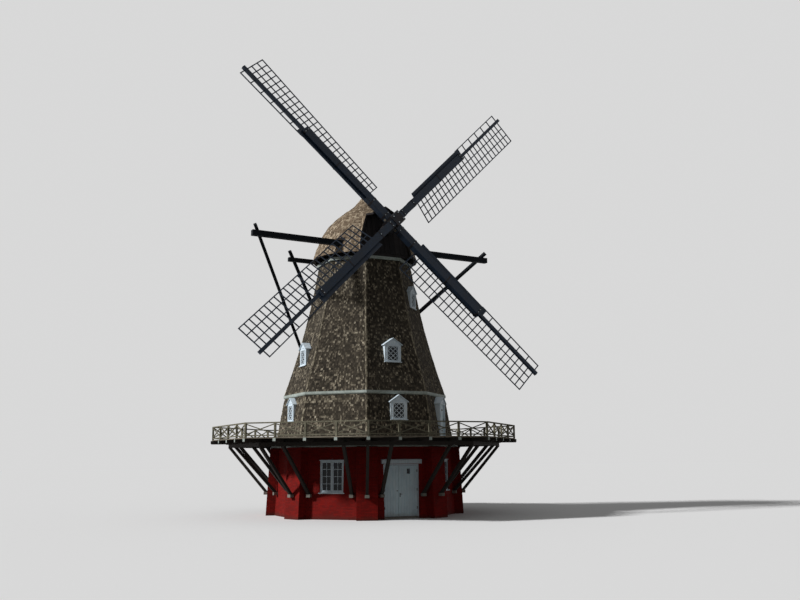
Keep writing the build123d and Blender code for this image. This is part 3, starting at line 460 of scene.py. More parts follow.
def shingleFace(plain, angle, wallOut, foot, head, chance, paintedHighlight=None):
    # courses of shingles up one face, with pale ones mixed in near the skirt's top on the faces towards the
    # key light: painted highlight
    low = foot
    lift = onFace(angle, 0, *shingle["lift"]).normalized()
    (paleLow, paleHigh), paleSides = shingle["paintedHighlight"], shingle["paintedHighlightSides"]
    while low < head - 0.05:
        # pale shingles only on the two faces towards the key light: painted highlight
        pale = paintedHighlight and angle in paleSides and paleLow < low < paleHigh
        high = min(low + shingle["length"], head + 0.005)
        out = wallOut(low)
        half = (out + shingle["butt"]) * sideTan
        block = blocked(angle, low, min(low + shingle["exposure"], head))
        for ends in spans(-half, half, shingle["width"], shingle["uneven"], chance):
            ends = clear(*ends, (-block, block) if block else None)
            if not ends:
                continue
            left, right = ends[0] + shingle["gap"], ends[1] - shingle["gap"]
            drop = chance.uniform(-shingle["drop"], shingle["drop"])
            z = low + (drop if low > foot + 0.05 else 0)
            outLow, outHigh = wallOut(z), wallOut(high)
            taper = outHigh / outLow
            butt = shingle["butt"] * chance.uniform(*shingle["butts"])
            shape = paintedHighlight if pale and chance.random() < shingle["paintedHighlightShare"] else plain
            shape.wedge(
                (onFace(angle, left, outLow, z), onFace(angle, right, outLow, z)),
                (onFace(angle, left * taper, outHigh + shingle["head"], high),
                 onFace(angle, right * taper, outHigh + shingle["head"], high)),
                lift, butt)
        low += shingle["exposure"]


chance = random.Random(7)
smockShingles, skirtShingles, hips = Shape(), Shape(), Shape()
for angle in sides:
    shingleFace(smockShingles, angle, smockOut, *shingle["smock"], chance)
    shingleFace(skirtShingles, angle, skirtOut, *shingle["skirt"], chance, hips)
hip = {"half": 0.05, "butt": 0.026, "exposure": 0.132, "length": 0.18, "seat": 0.012, "lap": 0.004,
       "widths": (0.7, 1.3), "butts": (0.4, 1.1), "smock": (6.17, 13.1), "skirt": (3.88, 5.95)}


def layHip(shape, corner, wallOut, foot, head, chance):
    # paired shingles that lap over a corner of the octagon
    low = foot
    while low < head - hip["length"]:
        for flank in (-1, 1):
            angle = corner + flank * 22.5
            half = hip["half"] * chance.uniform(*hip["widths"])
            # [::flank] turns a loop round on the left, so that its faces look outwards
            ends = [[onFace(angle, -flank * (wallOut(z) * sideTan + over), wallOut(z) + hip["seat"], z)
                     for over in (-half, hip["lap"])[::flank]] for z in (low, low + hip["length"])]
            shape.wedge(*ends, onFace(angle, 0, 1, 0), hip["butt"] * chance.uniform(*hip["butts"]))
        low += hip["exposure"]


# hip shingles in the pale material: painted highlight along each corner
for corner in corners:
    layHip(hips, corner, smockOut, *hip["smock"], chance)
    layHip(hips, corner, skirtOut, *hip["skirt"], chance)
# the pale shingles: painted highlight on the corners and on a few skirt courses
hips.make("painted_highlight_shingles", "paintedHighlightShingle", "tower", "smock_shingles")
smockShingles.make("smock_shingle_courses", "weatheredShingle", "tower", "smock_shingles")
skirtShingles.make("skirt_shingle_courses", "weatheredShingle", "tower", "smock_shingles")
print("wall shingles:", (len(smockShingles.points) + len(skirtShingles.points)) // 6)


# Cap shingles

capShape = {
    "turn": 3.494, "ribs": 24, "top": 17.25, "thick": 0.11,
    "sections": ((13.45, 2.87), (14.0, 2.7), (14.4, 2.52), (14.83, 2.36), (15.34, 2.03), (15.78, 1.61),
                 (16.19, 1.11), (16.49, 0.7), (16.82, 0.4), (17.25, 0.09)),
    "gable": ((13.45, 1.54), (14.0, 1.48), (14.45, 1.37), (14.83, 1.24), (15.25, 1.08), (15.55, 0.96),
              (16.06, 0.0)),
    "gableFront": 2.48, "gableBack": 0.9, "gableLean": 12.83, "hoodFoot": 15.55,
    "hood": ((0.96, 2.02), (0.72, 2.42)),
    "longBeam": (-1.47, 14.0, 0.14), "shortBeam": (2.5, 13.8, 0.11), "tail": (0.16, 2.4, 14.35),
    "beamGap": (0.05, 0.07),
}
sections, gableRows = capShape["sections"], capShape["gable"]
capFoot = sections[0][0]
capShingle = {"width": 0.085, "exposure": 0.115, "length": 0.18, "butt": 0.013, "stand": 0.003,
              "gableStand": 0.006, "bentStand": 0.014, "drop": 0.009, "widths": (0.7, 1.3),
              "butts": (0.7, 1.15), "leastEnd": 0.35}
capMatrix = Matrix.Rotation(radians(capShape["turn"]), 4, "Z")
leanTan = tan(radians(capShape["gableLean"]))


def rowAt(rows, z):
    # width at a height, between the rows that are given
    for (z0, w0), (z1, w1) in zip(rows, rows[1:]):
        if z <= z1:
            return between(w0, w1, (z - z0) / (z1 - z0))
    return rows[-1][1]


def gableAt(z):
    # how far forward the leaning gable stands at a height
    return -capShape["gableFront"] + (z - capFoot) * leanTan


def roofPoint(place, z):
    # a point of the onion, place counted in ribs from +X through the back
    radius, rib = rowAt(sections, z), int(place)
    turns = [2 * pi * k / capShape["ribs"] for k in (rib, rib + 1)]
    start, end = (Vector((radius * cos(turn), radius * sin(turn), z)) for turn in turns)
    return start.lerp(end, place - rib)


def beamThrough(p):
    # whether a beam or the tail pole comes out of the roof here
    for y, z, half in (capShape["longBeam"], capShape["shortBeam"]):
        if abs(p.y - y) < half + capShape["beamGap"][0] and abs(p.z - z) < half + capShape["beamGap"][1]:
            return True
    half, back, top = capShape["tail"]
    return abs(p.x) < half and p.y > back and p.z < top


def courseHeights():
    # heights of the courses, even along the slope
    heights, z = [], capFoot
    while z < capShape["top"] - 0.04:
        heights.append(z)
        here, above = rowAt(sections, z), rowAt(sections, z + 0.02)
        z += capShingle["exposure"] * 0.02 / hypot(0.02, here - above)
    return heights + [capShape["top"]]


def layShingle(shape, a, b, c, d, outward, chance, stand):
    # one tapered shingle in the cap's frame: low edge a b, high edge c d, which stands off a little
    lift = (b - a).cross(c - a)
    lift = lift.normalized() if lift.length > 1e-9 else Vector((0, 0, 1))
    if lift.dot(outward) < 0:
        lift = -lift
    c, d = c + lift * stand, d + lift * stand
    a, b, c, d = (capMatrix @ p for p in (a, b, c, d))
    butt = max(capShingle["butt"] * chance.uniform(*capShingle["butts"]), stand + 0.004)
    shape.wedge((a, b), (c, d), capMatrix.to_3x3() @ lift, butt)


chance = random.Random(21)
capCourses = Shape()
courses = courseHeights()
for low, high in zip(courses, courses[1:]):
    reach = min(low + (high - low) * capShingle["length"] / capShingle["exposure"], capShape["top"])
    place, total = 0.0, float(capShape["ribs"])
    while place < total - 1e-6:
        size = (roofPoint(place + 0.05, low) - roofPoint(place, low)).length / 0.05
        step = capShingle["width"] * chance.uniform(*capShingle["widths"]) / max(size, 0.01)
        nextRib = int(place + 1e-6) + 1.0
        end = min(place + step, nextRib)
        if nextRib - end < step * capShingle["leastEnd"]:
            end = nextRib
        right = min(end, total - 1e-6)
        a, b, c, d = (roofPoint(at, z) for z in (low, reach) for at in (place, right))
        place = end
        middle = (a + b + c + d) / 4
        # left out before the gable, and where the gable's own slopes cover the onion
        within = abs(middle.x) < rowAt(gableRows, middle.z) - 0.04 and middle.z < gableRows[-1][0]
        if middle.y < gableAt(middle.z) + 0.03 or (within and middle.y < -capShape["gableBack"]):
            continue
        if beamThrough(middle) or beamThrough((a + b) / 2):
            continue
        if low > courses[0]:
            drop = Vector((0, 0, chance.uniform(-capShingle["drop"], capShingle["drop"])))
            a, b = a + drop, b + drop
        for p in (a, b, c, d):
            p.y = max(p.y, gableAt(p.z))
        # a shingle that bridges a bend of the slope stands farther off
        bent = any(low < height < reach for height, _ in sections)
        stand = capShingle["bentStand" if bent else "stand"]
        layShingle(capCourses, a, b, c, d, Vector((middle.x, middle.y, 0.3)), chance, stand)


def frontEdge(x, z):
    # where the shingles of the gable's sides and hood end towards the sails
    if z < capShape["hoodFoot"]:
        return gableAt(z)
    (wide, back), (narrow, front) = capShape["hood"]
    return -between(front, back, max(0.0, (abs(x) - narrow) / (wide - narrow)))


def gableCourses():
    # points of the gable's outline, one exposure apart along each straight length
    rows = []
    for (z0, x0), (z1, x1) in zip(gableRows, gableRows[1:]):
        length = hypot(z1 - z0, x1 - x0)
        count = max(1, round(length / capShingle["exposure"]))
        over = (capShingle["length"] / capShingle["exposure"] - 1) / count
        for k in range(count):
            top = min((k + 1) / count + over, 1.0)
            rows.append(((between(x0, x1, k / count), between(z0, z1, k / count)),
                         (between(x0, x1, top), between(z0, z1, top))))
    return rows


for flank in (-1, 1):
    for (x0, z0), (x1, z1) in gableCourses():
        radius = rowAt(sections, z0 + 0.02) * 0.985
        back = -sqrt(max(radius ** 2 - x0 ** 2, 0.04)) + 0.12
        front = frontEdge(x0, z0 + 0.01)
        if back - front < 0.05:
            continue
        for near, far in spans(front, back, capShingle["width"], 0.3, chance):
            farther = max(near, frontEdge(x1, z1 - 0.01))
            if farther > far - 0.01:
                continue
            a, b = Vector((flank * x0, near, z0)), Vector((flank * x0, far, z0))
            c, d = Vector((flank * x1, farther, z1)), Vector((flank * x1, far, z1))
            if not beamThrough((a + b) / 2):
                layShingle(capCourses, a, b, c, d, Vector((flank, 0, 0.4)), chance, capShingle["gableStand"])
capCourses.make("cap_shingle_courses", "capShingle", "cap", "cap_shingles")
print("cap shingles:", len(capCourses.points) // 6)


# Brickwork

brick = {"length": 0.24, "course": 0.067, "joint": 0.011, "proud": 0.005, "uneven": (0.5, 1.3),
         "bed": -0.01, "foot": 0.005}
baseSizes = {"apothem": 4.5, "batter": tan(radians(3.0)), "top": 3.40,
             "pierGround": 5.13, "pierTop": 4.95, "pierHalf": 0.5, "pierHeight": 3.42,
             "doorHalf": 0.95, "doorTop": 2.58, "hoodHalf": 1.08, "hoodTop": 2.86, "pierEdge": 0.46,
             "windowHalf": 0.62, "windowLow": 1.25, "windowHigh": 2.78}


def baseOut(z):
    return baseSizes["apothem"] - z * baseSizes["batter"]


def pierOut(z):
    return between(baseSizes["pierGround"], baseSizes["pierTop"], z / baseSizes["pierHeight"])


def brickCourse(shape, left, right, z, place, hole, chance, shift):
    # one course between two ends: place(across, depth, z) gives its points, hole is left out
    half, thick = brick["length"] / 2, brick["course"] - brick["joint"]
    at = left - (half if shift else 0)
    while at < right - 0.02:
        start, end = max(at, left), min(at + brick["length"] - brick["joint"], right)
        at += brick["length"]
        ends = clear(start, end, hole)
        if ends:
            rim = [(ends[0], z), (ends[1], z), (ends[1], z + thick), (ends[0], z + thick)]
            proud = brick["proud"] * chance.uniform(*brick["uneven"])
            shape.prism(*[[place(a, depth, h) for a, h in rim] for depth in (brick["bed"], proud)])


def layWall(shape, angle, chance):
    # courses between the piers, which cover the corners
    z, course = brick["foot"], 0
    while z < baseSizes["top"]:
        half = baseOut(z) * sideTan - baseSizes["pierEdge"]
        hole = None
        if angle == 0 and z < baseSizes["hoodTop"]:
            reach = baseSizes["doorHalf" if z < baseSizes["doorTop"] else "hoodHalf"]
            hole = (-reach, reach)
        if angle % 90 and baseSizes["windowLow"] - 0.06 < z < baseSizes["windowHigh"]:
            hole = (-baseSizes["windowHalf"], baseSizes["windowHalf"])
        brickCourse(shape, -half, half, z,
                    lambda a, d, h: onFace(angle, a, baseOut(h) + d, h), hole, chance, course % 2)
        z += brick["course"]
        course += 1


def layPier(shape, angle, chance):
    # courses round a corner pier: its front and both flanks
    z, course = brick["foot"], 0
    side = baseSizes["pierHalf"]
    while z < baseSizes["pierHeight"] - 0.06:
        brickCourse(shape, -side, side, z, lambda a, d, h: onFace(angle, a, pierOut(h) + d, h),
                    None, chance, course % 2)
        # the flanks run back to the wall's face
        for flank in (-1, 1):
            wall = baseOut(z) / cos(radians(22.5)) - side * sideTan
            brickCourse(shape, wall + 0.005, pierOut(z) - 0.006, z,
                        lambda a, d, h: onFace(angle, flank * (side + d), a, h),
                        None, chance, (course + 1) % 2)
        z += brick["course"]
        course += 1


chance = random.Random(3)
wallBricks, pierBricks = Shape(), Shape()
for angle in sides:
    layWall(wallBricks, angle, chance)
for angle in corners:
    layPier(pierBricks, angle, chance)
wallBricks.make("base_wall_bricks", "paintedBrick", "tower", "red_masonry")
pierBricks.make("corner_pier_bricks", "paintedBrick", "tower", "red_masonry")
print("bricks:", (len(wallBricks.points) + len(pierBricks.points)) // 8)


# Window boxes of the smock

boxTrim = {"bar": 0.03, "barDepth": 0.014, "sash": 0.014, "frame": 0.07, "roofBoard": 0.032,
           "overhang": 0.075, "roofBack": 0.12, "frameOut": (-0.01, 0.022), "sashOut": (-0.05, 0.004),
           "sillOver": 0.03, "sillOut": (-0.02, 0.06), "sillUp": (-0.01, 0.03), "latticeOut": 0.002,
           "diamondsWide": 2, "diamondsHigh": 3}


def diamondBars(shape, angle, out, half, low, high, across, up):
    # crossing bars from corner to corner of diamonds
    wide, tall = 2 * half / across, high - low
    for lean in (-wide * up, wide * up):
        for k in range(-up, across + up + 1):
            x = -half + k * wide
            # shares of the way up at which the bar enters and leaves the opening
            enter, leave = sorted(((-half - x) / lean, (half - x) / lean))
            enter, leave = max(enter, 0.0), min(leave, 1.0)
            if leave - enter < 0.02:
                continue
            start, end = (onFace(angle, x + lean * t, out, low + tall * t) for t in (enter, leave))
            run = Vector((lean, 0, tall)).normalized()
            sideways = onFace(angle, -run.z, 0, 0) + Vector((0, 0, run.x))
            shape.bar(start, end, boxTrim["bar"], boxTrim["barDepth"], sideways)


def gableRoof(shape, angle, front, back, half, eaves, rise):
    # two boarded slopes that overhang the box
    over, thick = boxTrim["overhang"], boxTrim["roofBoard"]
    slope = rise / half
    up = Vector((0, 0, thick * hypot(1, slope)))
    for flank in (-1, 1):
        loops = []
        for out in (front + over, back):
            ridge = onFace(angle, 0, out, eaves + rise)
            foot = onFace(angle, flank * (half + over), out, eaves - over * slope)
            loops.append([foot, ridge, ridge + up, foot + up][::flank])
        shape.prism(*loops)


boxes, boxRoofs = Shape(), Shape()
skirtTop = wallSizes["skirt"][1][1]
for angle in sides:
    for sill, height in dormersOn(angle):
        isDoor = height == dormer["doorHeight"]
        front = (skirtOut(sill) if sill < skirtTop else arcOut(sill)) + dormer["proud"]
        half, eaves = dormer["half"], sill + height
        peak = eaves + dormer["gable"]
        back = (skirtOut(peak) if peak < skirtTop else smockOut(peak)) - boxTrim["roofBack"]
        gableRoof(boxRoofs, angle, front, back, half, eaves, dormer["gable"])
        width, tall = dormer["doorOpening"] if isDoor else dormer["opening"]
        low = sill + (height - tall) / 2
        # architrave round the opening and a sill below it
        rim, side = boxTrim["frame"], width / 2 + boxTrim["frame"]
        faceFrame(boxes, angle, (-side, side), shifted(front, boxTrim["frameOut"]),
                  (low - rim, low + tall + rim), rim)
        if not isDoor:
            side = half + boxTrim["sillOver"]
            faceBox(boxes, angle, (-side, side), shifted(front, boxTrim["sillOut"]),
                    shifted(sill, boxTrim["sillUp"]))
            # sash: a thin frame and the diamond lattice before the glass
            rim = boxTrim["sash"]
            faceFrame(boxes, angle, (-width / 2, width / 2), shifted(front, boxTrim["sashOut"]),
                      (low, low + tall), rim)
            diamondBars(boxes, angle, front + boxTrim["latticeOut"], width / 2 - rim, low + rim,
                        low + tall - rim, boxTrim["diamondsWide"], boxTrim["diamondsHigh"])
        # small boarded triangle under the gable's slopes
        tip = [onFace(angle, a, front + 0.018, eaves + z) for a, z in
               ((-half * 0.8, 0.03), (half * 0.8, 0.03), (0, dormer["gable"] * 0.82))]
        boxes.prism([p - onFace(angle, 0, 0.03, 0) for p in tip], tip)
boxes.make("window_box_trim", "whitePaint", "tower", "white_woodwork")
boxRoofs.make("window_box_roofs", "whitePaint", "tower", "white_woodwork", chamfer=0.006)

# Gallery doors: boards, strap hinges and a latch plate
galleryDoor = {"recess": 0.06, "board": 0.125, "joint": 0.003, "boardOut": (-0.005, 0.014),
               "straps": (0.28, 1.34), "strapTall": 0.05, "strapOut": (0.01, 0.022),
               "latch": (-0.1, -0.06), "latchUp": (0.75, 0.93), "latchOut": (0.01, 0.03)}
galleryDoorBoards, galleryDoorIron = Shape(), Shape()
for angle in dormer["doorSides"]:
    front = skirtOut(dormer["deckTop"]) + dormer["proud"] - galleryDoor["recess"]
    width, tall = dormer["doorOpening"]
    low = dormer["deckTop"] + (dormer["doorHeight"] - tall) / 2
    half, joint = width / 2, galleryDoor["joint"]
    for left, right in spans(-half + 0.004, half - 0.004, galleryDoor["board"], 0.0, random.Random(1)):
        faceBox(galleryDoorBoards, angle, (left + joint, right - joint),
                shifted(front, galleryDoor["boardOut"]), (low + 2 * joint, low + tall - 2 * joint))
    for rise in galleryDoor["straps"]:
        faceBox(galleryDoorIron, angle, (-half + 0.01, half - 0.16), shifted(front, galleryDoor["strapOut"]),
                (low + rise, low + rise + galleryDoor["strapTall"]))
    faceBox(galleryDoorIron, angle, shifted(half, galleryDoor["latch"]),
            shifted(front, galleryDoor["latchOut"]), shifted(low, galleryDoor["latchUp"]))
galleryDoorBoards.make("gallery_door_boards", "doorPaint", "tower", "door_paint")
galleryDoorIron.make("gallery_door_ironwork", "forgedIron", "tower")
print("window boxes done")


# Base windows

baseWindow = {"face": 4.36, "rim": 0.075, "panesHigh": 4,
              "bar": 0.024, "casement": 0.038, "sides": (45, 135, 225, 315), "casementOut": (-0.06, -0.018),
              "uprightOut": (-0.052, -0.026), "barOut": (-0.05, -0.028),
              "sill": (0.68, (-0.06, 0.09), (1.205, 1.255)), "drip": (0.65, (-0.06, 0.035), (2.775, 2.81))}
baseBars = Shape()
rim, out, bar = baseWindow["rim"], baseWindow["face"], baseWindow["bar"] / 2
low, high = baseSizes["windowLow"] + rim, baseSizes["windowHigh"] - rim
wide = (2 * baseSizes["windowHalf"] - 3 * rim) / 2
for angle in baseWindow["sides"]:
    for centre in (-(wide + rim) / 2, (wide + rim) / 2):
        across = (centre - wide / 2, centre + wide / 2)
        faceFrame(baseBars, angle, across, shifted(out, baseWindow["casementOut"]), (low, high),
                  baseWindow["casement"])
        faceBox(baseBars, angle, (centre - bar, centre + bar), shifted(out, baseWindow["uprightOut"]),
                (low, high))
        for step in range(1, baseWindow["panesHigh"]):
            z = between(low, high, step / baseWindow["panesHigh"])
            faceBox(baseBars, angle, across, shifted(out, baseWindow["barOut"]), (z - bar, z + bar))
    # sill and a drip board over the frame
    for half, deep, up in (baseWindow["sill"], baseWindow["drip"]):
        faceBox(baseBars, angle, (-half, half), shifted(out, deep), up)
baseBars.make("base_window_bars", "whitePaint", "tower", "white_woodwork")


# Entrance

entrance = {"face": 4.335, "bottom": 0.112, "top": 2.512, "left": (-0.882, -0.14), "right": (-0.132, 0.882),
            "board": 0.148, "joint": 0.003, "ends": 0.004, "boardOut": (-0.012, 0.01),
            "light": (0.4, 2.24, 0.2, 0.27), "lightOver": 0.02, "lightRim": 0.032, "lightOut": (-0.02, 0.016)}


def doorBoards(shape, ends, hole=None):
    # upright boards with open joints, cut round the small light
    count = round((ends[1] - ends[0]) / entrance["board"])
    wide = (ends[1] - ends[0]) / count
    bottom, top = entrance["bottom"] + entrance["ends"], entrance["top"] - entrance["ends"]
    for step in range(count):
        left = ends[0] + step * wide + entrance["joint"]
        right = left + wide - 2 * entrance["joint"]
        rows = [(left, right, bottom, top)]
        if hole:
            near, far = hole[0] - hole[2] / 2, hole[0] + hole[2] / 2
            low, high = hole[1] - hole[3] / 2, hole[1] + hole[3] / 2
            if left < far and right > near:
                rows = [(left, right, bottom, low), (left, right, high, top)]
                if left < near:
                    rows.append((left, near, low, high))
                if right > far:
                    rows.append((far, right, low, high))
        for a0, a1, z0, z1 in rows:
            faceBox(shape, 0, (a0, a1), shifted(entrance["face"], entrance["boardOut"]), (z0, z1))


leftBoards, rightBoards = Shape(), Shape()
doorBoards(leftBoards, entrance["left"])
doorBoards(rightBoards, entrance["right"], entrance["light"])
leftBoards.make("door_left_boards", "doorPaint", "door_left_leaf", "door_paint", chamfer=0.003)
rightBoards.make("door_right_boards", "doorPaint", "door_right_leaf", "door_paint", chamfer=0.003)

lightFrame = Shape()
middle, level, wide, tall = entrance["light"]
side, rise = wide / 2 + entrance["lightOver"], tall / 2 + entrance["lightOver"]
faceFrame(lightFrame, 0, (middle - side, middle + side), shifted(entrance["face"], entrance["lightOut"]),
          (level - rise, level + rise), entrance["lightRim"])
lightFrame.make("door_light_frame", "doorPaint", "door_right_leaf", "door_paint")

ironwork = {  # boxes across, out and up, then round parts across, out, up, radius, length and corners
    "lockPlate": ((-0.075, -0.035), (-0.004, 0.006), (1.02, 1.22)),
    "lever": ((-0.07, 0.045), (0.03, 0.043), (1.15, 1.172)),
    "leftBolt": ((-0.24, -0.16), (-0.004, 0.012), (1.3, 1.33)),
    "neck": (-0.055, 0.004, 1.16, 0.026, 0.035, 16), "keyhole": (-0.055, 0.0, 1.06, 0.012, 0.012, 12),
    "hinges": (0.45, 1.3, 2.2), "hingeSize": (0.03, 0.12), "hingeOut": (-0.004, 0.012),
}
leftIron, rightIron = Shape(), Shape()
face = entrance["face"] + 0.01
for shape, name in ((rightIron, "lockPlate"), (rightIron, "lever"), (leftIron, "leftBolt")):
    across, out, up = ironwork[name]
    faceBox(shape, 0, across, shifted(face, out), up)
for name in ("neck", "keyhole"):
    across, out, up, radius, length, count = ironwork[name]
    rightIron.disc(onFace(0, across, face + out, up), onFace(0, 0, 1, 0), radius, length, count)
wide, tall = ironwork["hingeSize"]
for shape, edge, flank in ((leftIron, entrance["left"][0], 1), (rightIron, entrance["right"][1], -1)):
    for z in ironwork["hinges"]:
        faceBox(shape, 0, (edge, edge + flank * wide)[::flank], shifted(face, ironwork["hingeOut"]),
                (z, z + tall))
leftIron.make("door_left_ironwork", "forgedIron", "door_left_leaf")
rightIron.make("door_right_ironwork", "forgedIron", "door_right_leaf")
print("entrance done")


# Gallery

gallery = {"inner": 4.31, "outer": 7.44, "board": 0.15, "gap": 0.004, "mitre": 0.006,
           "boardUp": (-0.004, 0.008)}
deckBoards = Shape()
wide = gallery["outer"] - gallery["inner"]
rows = int(wide / gallery["board"])
for angle in sides:
    for row in range(rows):
        near = gallery["inner"] + row * wide / rows + gallery["gap"]
        far = near + wide / rows - 2 * gallery["gap"]
        a, b = near * sideTan - gallery["mitre"], far * sideTan - gallery["mitre"]
        loops = [[onFace(angle, x, o, z) for x, o in ((-b, far), (b, far), (a, near), (-a, near))]
                 for z in shifted(dormer["deckTop"], gallery["boardUp"])]
        deckBoards.prism(*loops)
deckBoards.make("gallery_deck_boards", "silveredOak", "tower", "weathered_timber")
print("gallery boards done")


# Cap breast and verge

breast = {"setback": 0.09, "board": 0.15, "half": 1.5, "low": 0.07, "high": 2.6, "shaft": 0.31,
          "shaftUp": 1.321, "gap": 0.004, "proud": (0.028, 0.016), "verge": 0.1,
          "vergeOut": (0.022, -0.012), "hoodBoard": 0.12, "hoodOut": (-0.02, 0.012), "eaves": (-0.01, 0.09)}
leanCos = cos(radians(capShape["gableLean"]))
leanSin = leanTan * leanCos


def gablePoint(x, up, out):
    # a point by the leaning gable: across, up along it, and out before it
    y = -capShape["gableFront"] + up * leanSin - out * leanCos
    return capMatrix @ Vector((x, y, capFoot + up * leanCos + out * leanSin))


def breastTop(x):
    # height along the gable where the roof's inner face closes over x
    rows = [(z - capShape["thick"], half - capShape["thick"]) for z, half in gableRows]
    up = breast["low"]
    while up < breast["high"] and rowAt(rows, capFoot + up * leanCos) > abs(x) + 0.01:
        up += 0.01
    return up


breastBoards, verge = Shape(), Shape()
count = int(breast["half"] / breast["board"]) + 1
for step in range(-count, count):
    left = step * breast["board"] + breast["gap"]
    right = left + breast["board"] - 2 * breast["gap"]
    top = min(breastTop(left), breastTop(right))
    nearest = 0 if left < 0 < right else min(abs(left), abs(right))
    rows = [(breast["low"], top)]
    if nearest < breast["shaft"]:
        half = sqrt(breast["shaft"] ** 2 - nearest ** 2)
        rows = [(breast["low"], breast["shaftUp"] - half), (breast["shaftUp"] + half, top)]
    back, out = shifted(-breast["setback"], (-0.01, breast["proud"][step % 2]))
    for low, high in rows:
        if high - low > 0.05:
            breastBoards.prism(*[[gablePoint(x, up, o) for x, o in
                                  ((left, out), (right, out), (right, back), (left, back))]
                                 for up in (low, high)])

# Verge boards up the gable's edges and along the hood
for flank in (-1, 1):
    rows = [(half, (z - capFoot) / leanCos) for z, half in gableRows[:-1]]
    for (x0, up0), (x1, up1) in zip(rows, rows[1:]):
        quad = [(x0, up0), (x1, up1), (x1 - breast["verge"], up1), (x0 - breast["verge"], up0)]
        quad = [(flank * x, up) for x, up in quad[::flank]]
        verge.prism(*[[gablePoint(x, up, out) for x, up in quad] for out in breast["vergeOut"]])
    (wide, back), (narrow, front) = capShape["hood"]
    foot, ridge = capShape["hoodFoot"], gableRows[-1][0]
    rise = between(ridge, foot, narrow / wide)
    deep = breast["hoodBoard"]
    quad = [(narrow, rise), (0.0, ridge), (0.0, ridge - deep), (narrow, rise - deep)][::flank]
    verge.prism(*[[capMatrix @ Vector((flank * x, y, z)) for x, z in quad]
                  for y in shifted(-front, breast["hoodOut"])])
    start, end = Vector((flank * wide, -back, 0)), Vector((flank * narrow, -front, 0))
    side = Vector((flank * 0.02, -0.01, 0))
    loops = [[capMatrix @ (p + Vector((0, 0, z))) for p in (start, end, end + side, start + side)[::flank]]
             for z in shifted(foot, breast["eaves"])]
    verge.prism(*loops)
breastBoards.make("cap_breast_boards", "tarredBoards", "cap", "dark_boards")
verge.make("cap_verge_boards", "tarredBoards", "cap", "dark_boards")
print("cap front done")


# Sails and shaft

shaft = {"forward": 3.348, "height": 15.003, "turn": 44.15, "front": 0.5, "offset": 0.2,
         "stock": (0.4, 0.38), "bands": ((0.52, 0.08, 0.014), (1.5, 0.07, 0.012), (4.1, 0.07, 0.012),
                                         (6.45, 0.09, 0.014)),
         "bolts": ((0.56, -0.12), (0.56, 0.12), (1.53, 0.0), (6.49, -0.1), (6.49, 0.1)), "boltSeat": 0.2,
         "boltHead": (0.026, 0.03, 8), "pollBolts": 0.2, "pollBoltHead": (0.035, 0.04, 8),
         "wedge": {"at": 0.31, "out": 0.214, "long": 0.13, "wide": 0.026, "deep": 0.16}}
turn, lean = radians(capShape["turn"]), radians(capShape["gableLean"])
# the shaft stands square to the leaning gable
shaftOut = Vector((sin(turn) * cos(lean), -cos(turn) * cos(lean), sin(lean)))
shaftSide = Vector((cos(turn), sin(turn), 0))
shaftUp = shaftOut.cross(shaftSide)
hub = Vector((shaft["forward"] * sin(turn), -shaft["forward"] * cos(turn), shaft["height"]))


def armFrame(k):
    # along the arm, towards the next arm, and the stock's centre at the poll
    angle = radians(shaft["turn"] + 90 * k)
    along = shaftSide * cos(angle) + shaftUp * sin(angle)
    across = shaftUp * cos(angle) - shaftSide * sin(angle)
    return along, across, hub + shaftOut * shaft["offset"] * (-1) ** k


def band(shape, k, at, length, thick):
    # an iron band round the stock
    along, across, centre = armFrame(k)
    wide, deep = shaft["stock"]
    start = centre + along * at
    for side in (-1, 1):
        middle = start + across * side * (wide + thick) / 2
        shape.bar(middle, middle + along * length, thick, deep + 2 * thick, across)
        middle = start + shaftOut * side * (deep + thick) / 2
        shape.bar(middle, middle + along * length, wide, thick, across)


ironBands, boltHeads, wedges = Shape(), Shape(), Shape()
for k in range(4):
    along, across, centre = armFrame(k)
    for at, length, thick in shaft["bands"]:
        band(ironBands, k, at, length, thick)
    for at, side in shaft["bolts"]:
        point = centre + along * at + across * side + shaftOut * shaft["boltSeat"]
        boltHeads.disc(point, shaftOut, *shaft["boltHead"])
    # wedges that lock the stock in the poll
    wedge = shaft["wedge"]
    for side in (-1, 1):
        start = centre + along * wedge["at"] + across * side * wedge["out"]
        wedges.bar(start, start + along * wedge["long"], wedge["wide"], wedge["deep"], across)
along, across, centre = armFrame(0)
for side, other in ((-1, -1), (-1, 1), (1, -1), (1, 1)):
    point = hub + shaftOut * (shaft["front"] - 0.01) + (along * side + across * other) * shaft["pollBolts"]
    boltHeads.disc(point, shaftOut, *shaft["pollBoltHead"])
ironBands.make("stock_iron_bands", "forgedIron", "sails")
boltHeads.make("stock_bolt_heads", "galvanisedSteel", "sails")
wedges.make("poll_wedges", "silveredOak", "sails", "weathered_timber")
print("sail ironwork done")


# Floor, light and camera

studio = {"floorHalf": 220, "floorDrop": 0.002, "floor": "#f4f4f4", "floorBounce": "#666561",
          "sky": "#ffffff", "skySeen": 0.69, "skyLight": 0.19,
          "sun": 3.5, "sunAzimuth": -97, "sunHeight": 31, "sunSoft": 5}


def seenDirectly(tree):
    # 1 for camera, mirrored and see-through rays, 0 for rays that carry light
    rays = addNode(tree, "LightPath").node.outputs
    direct = addNode(tree, "Math", {0: rays["Is Camera Ray"], 1: rays["Is Glossy Ray"]}, operation="MAXIMUM")
    return addNode(tree, "Math", {0: direct, 1: rays["Is Transmission Ray"]}, operation="MAXIMUM")


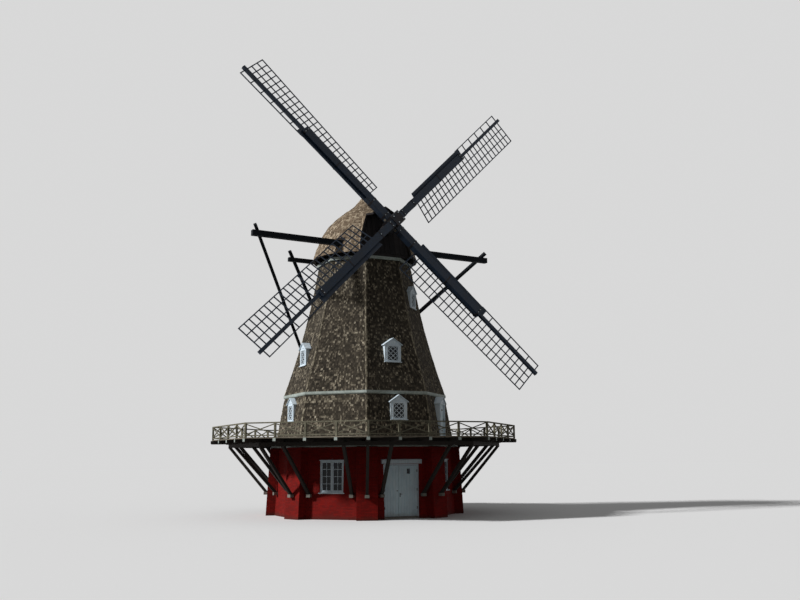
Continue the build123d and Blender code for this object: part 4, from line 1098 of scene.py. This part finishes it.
floorMesh = bpy.data.meshes.new("studio_floor")
reach, drop = studio["floorHalf"], studio["floorDrop"]
rim = [(x * reach, y * reach, -drop) for x, y in ((-1, -1), (1, -1), (1, 1), (-1, 1))]
floorMesh.from_pydata(rim, [], [(0, 1, 2, 3)])
floor = bpy.data.objects.new("studio_floor", floorMesh)
scene.collection.objects.link(floor)
floor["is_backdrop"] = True
floorLook = bpy.data.materials.new("studioFloor")
tree = emptyTree(floorLook)
# pale where it is seen or mirrored, a plain grey where it throws light back
pale = mixed(tree, seenDirectly(tree), colour(studio["floorBounce"]), colour(studio["floor"]))
addNode(tree, "OutputMaterial", {"Surface": addNode(tree, "BsdfDiffuse", {"Color": pale})})
floorMesh.materials.append(floorLook)

world = bpy.data.worlds.new("studio")
tree = emptyTree(world)
strength = spread(tree, seenDirectly(tree), (0.0, 1.0), (studio["skyLight"], studio["skySeen"]))
sky = addNode(tree, "Background", {"Color": colour(studio["sky"]), "Strength": strength})
addNode(tree, "OutputWorld", {"Surface": sky})
scene.world = world

lamp = bpy.data.lights.new("keyLight", "SUN")
lamp.energy, lamp.angle = studio["sun"], radians(studio["sunSoft"])
key = bpy.data.objects.new("keyLight", lamp)
azimuth, height = radians(studio["sunAzimuth"]), radians(studio["sunHeight"])
flat = cos(height)
towards = Vector((sin(azimuth) * flat, -cos(azimuth) * flat, sin(height)))
key.rotation_mode = "QUATERNION"
key.rotation_quaternion = towards.to_track_quat("Z", "Y")
scene.collection.objects.link(key)

shot = {"place": (-18.882, -43.376, 2.937), "heading": 25.844, "pitch": 10.111, "roll": 0.451,
        "lens": 39.524, "film": 36.0, "farthest": 1000}
camera = bpy.data.cameras.new("camera")
camera.lens, camera.sensor_width, camera.sensor_fit = shot["lens"], shot["film"], "HORIZONTAL"
camera.clip_end = shot["farthest"]
eye = bpy.data.objects.new("camera", camera)
heading, pitch, roll = (radians(shot[name]) for name in ("heading", "pitch", "roll"))
ahead = Vector((sin(heading) * cos(pitch), cos(heading) * cos(pitch), sin(pitch)))
right = Vector((cos(heading), -sin(heading), 0))
above = right.cross(ahead)
level = right * cos(roll) - above * sin(roll)
above = right * sin(roll) + above * cos(roll)
eye.matrix_world = Matrix.Translation(shot["place"]) @ Matrix((level, above, -ahead)).transposed().to_4x4()
scene.collection.objects.link(eye)
scene.camera = eye
scene.view_settings.view_transform = "Standard"
print("studio done")

low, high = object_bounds()
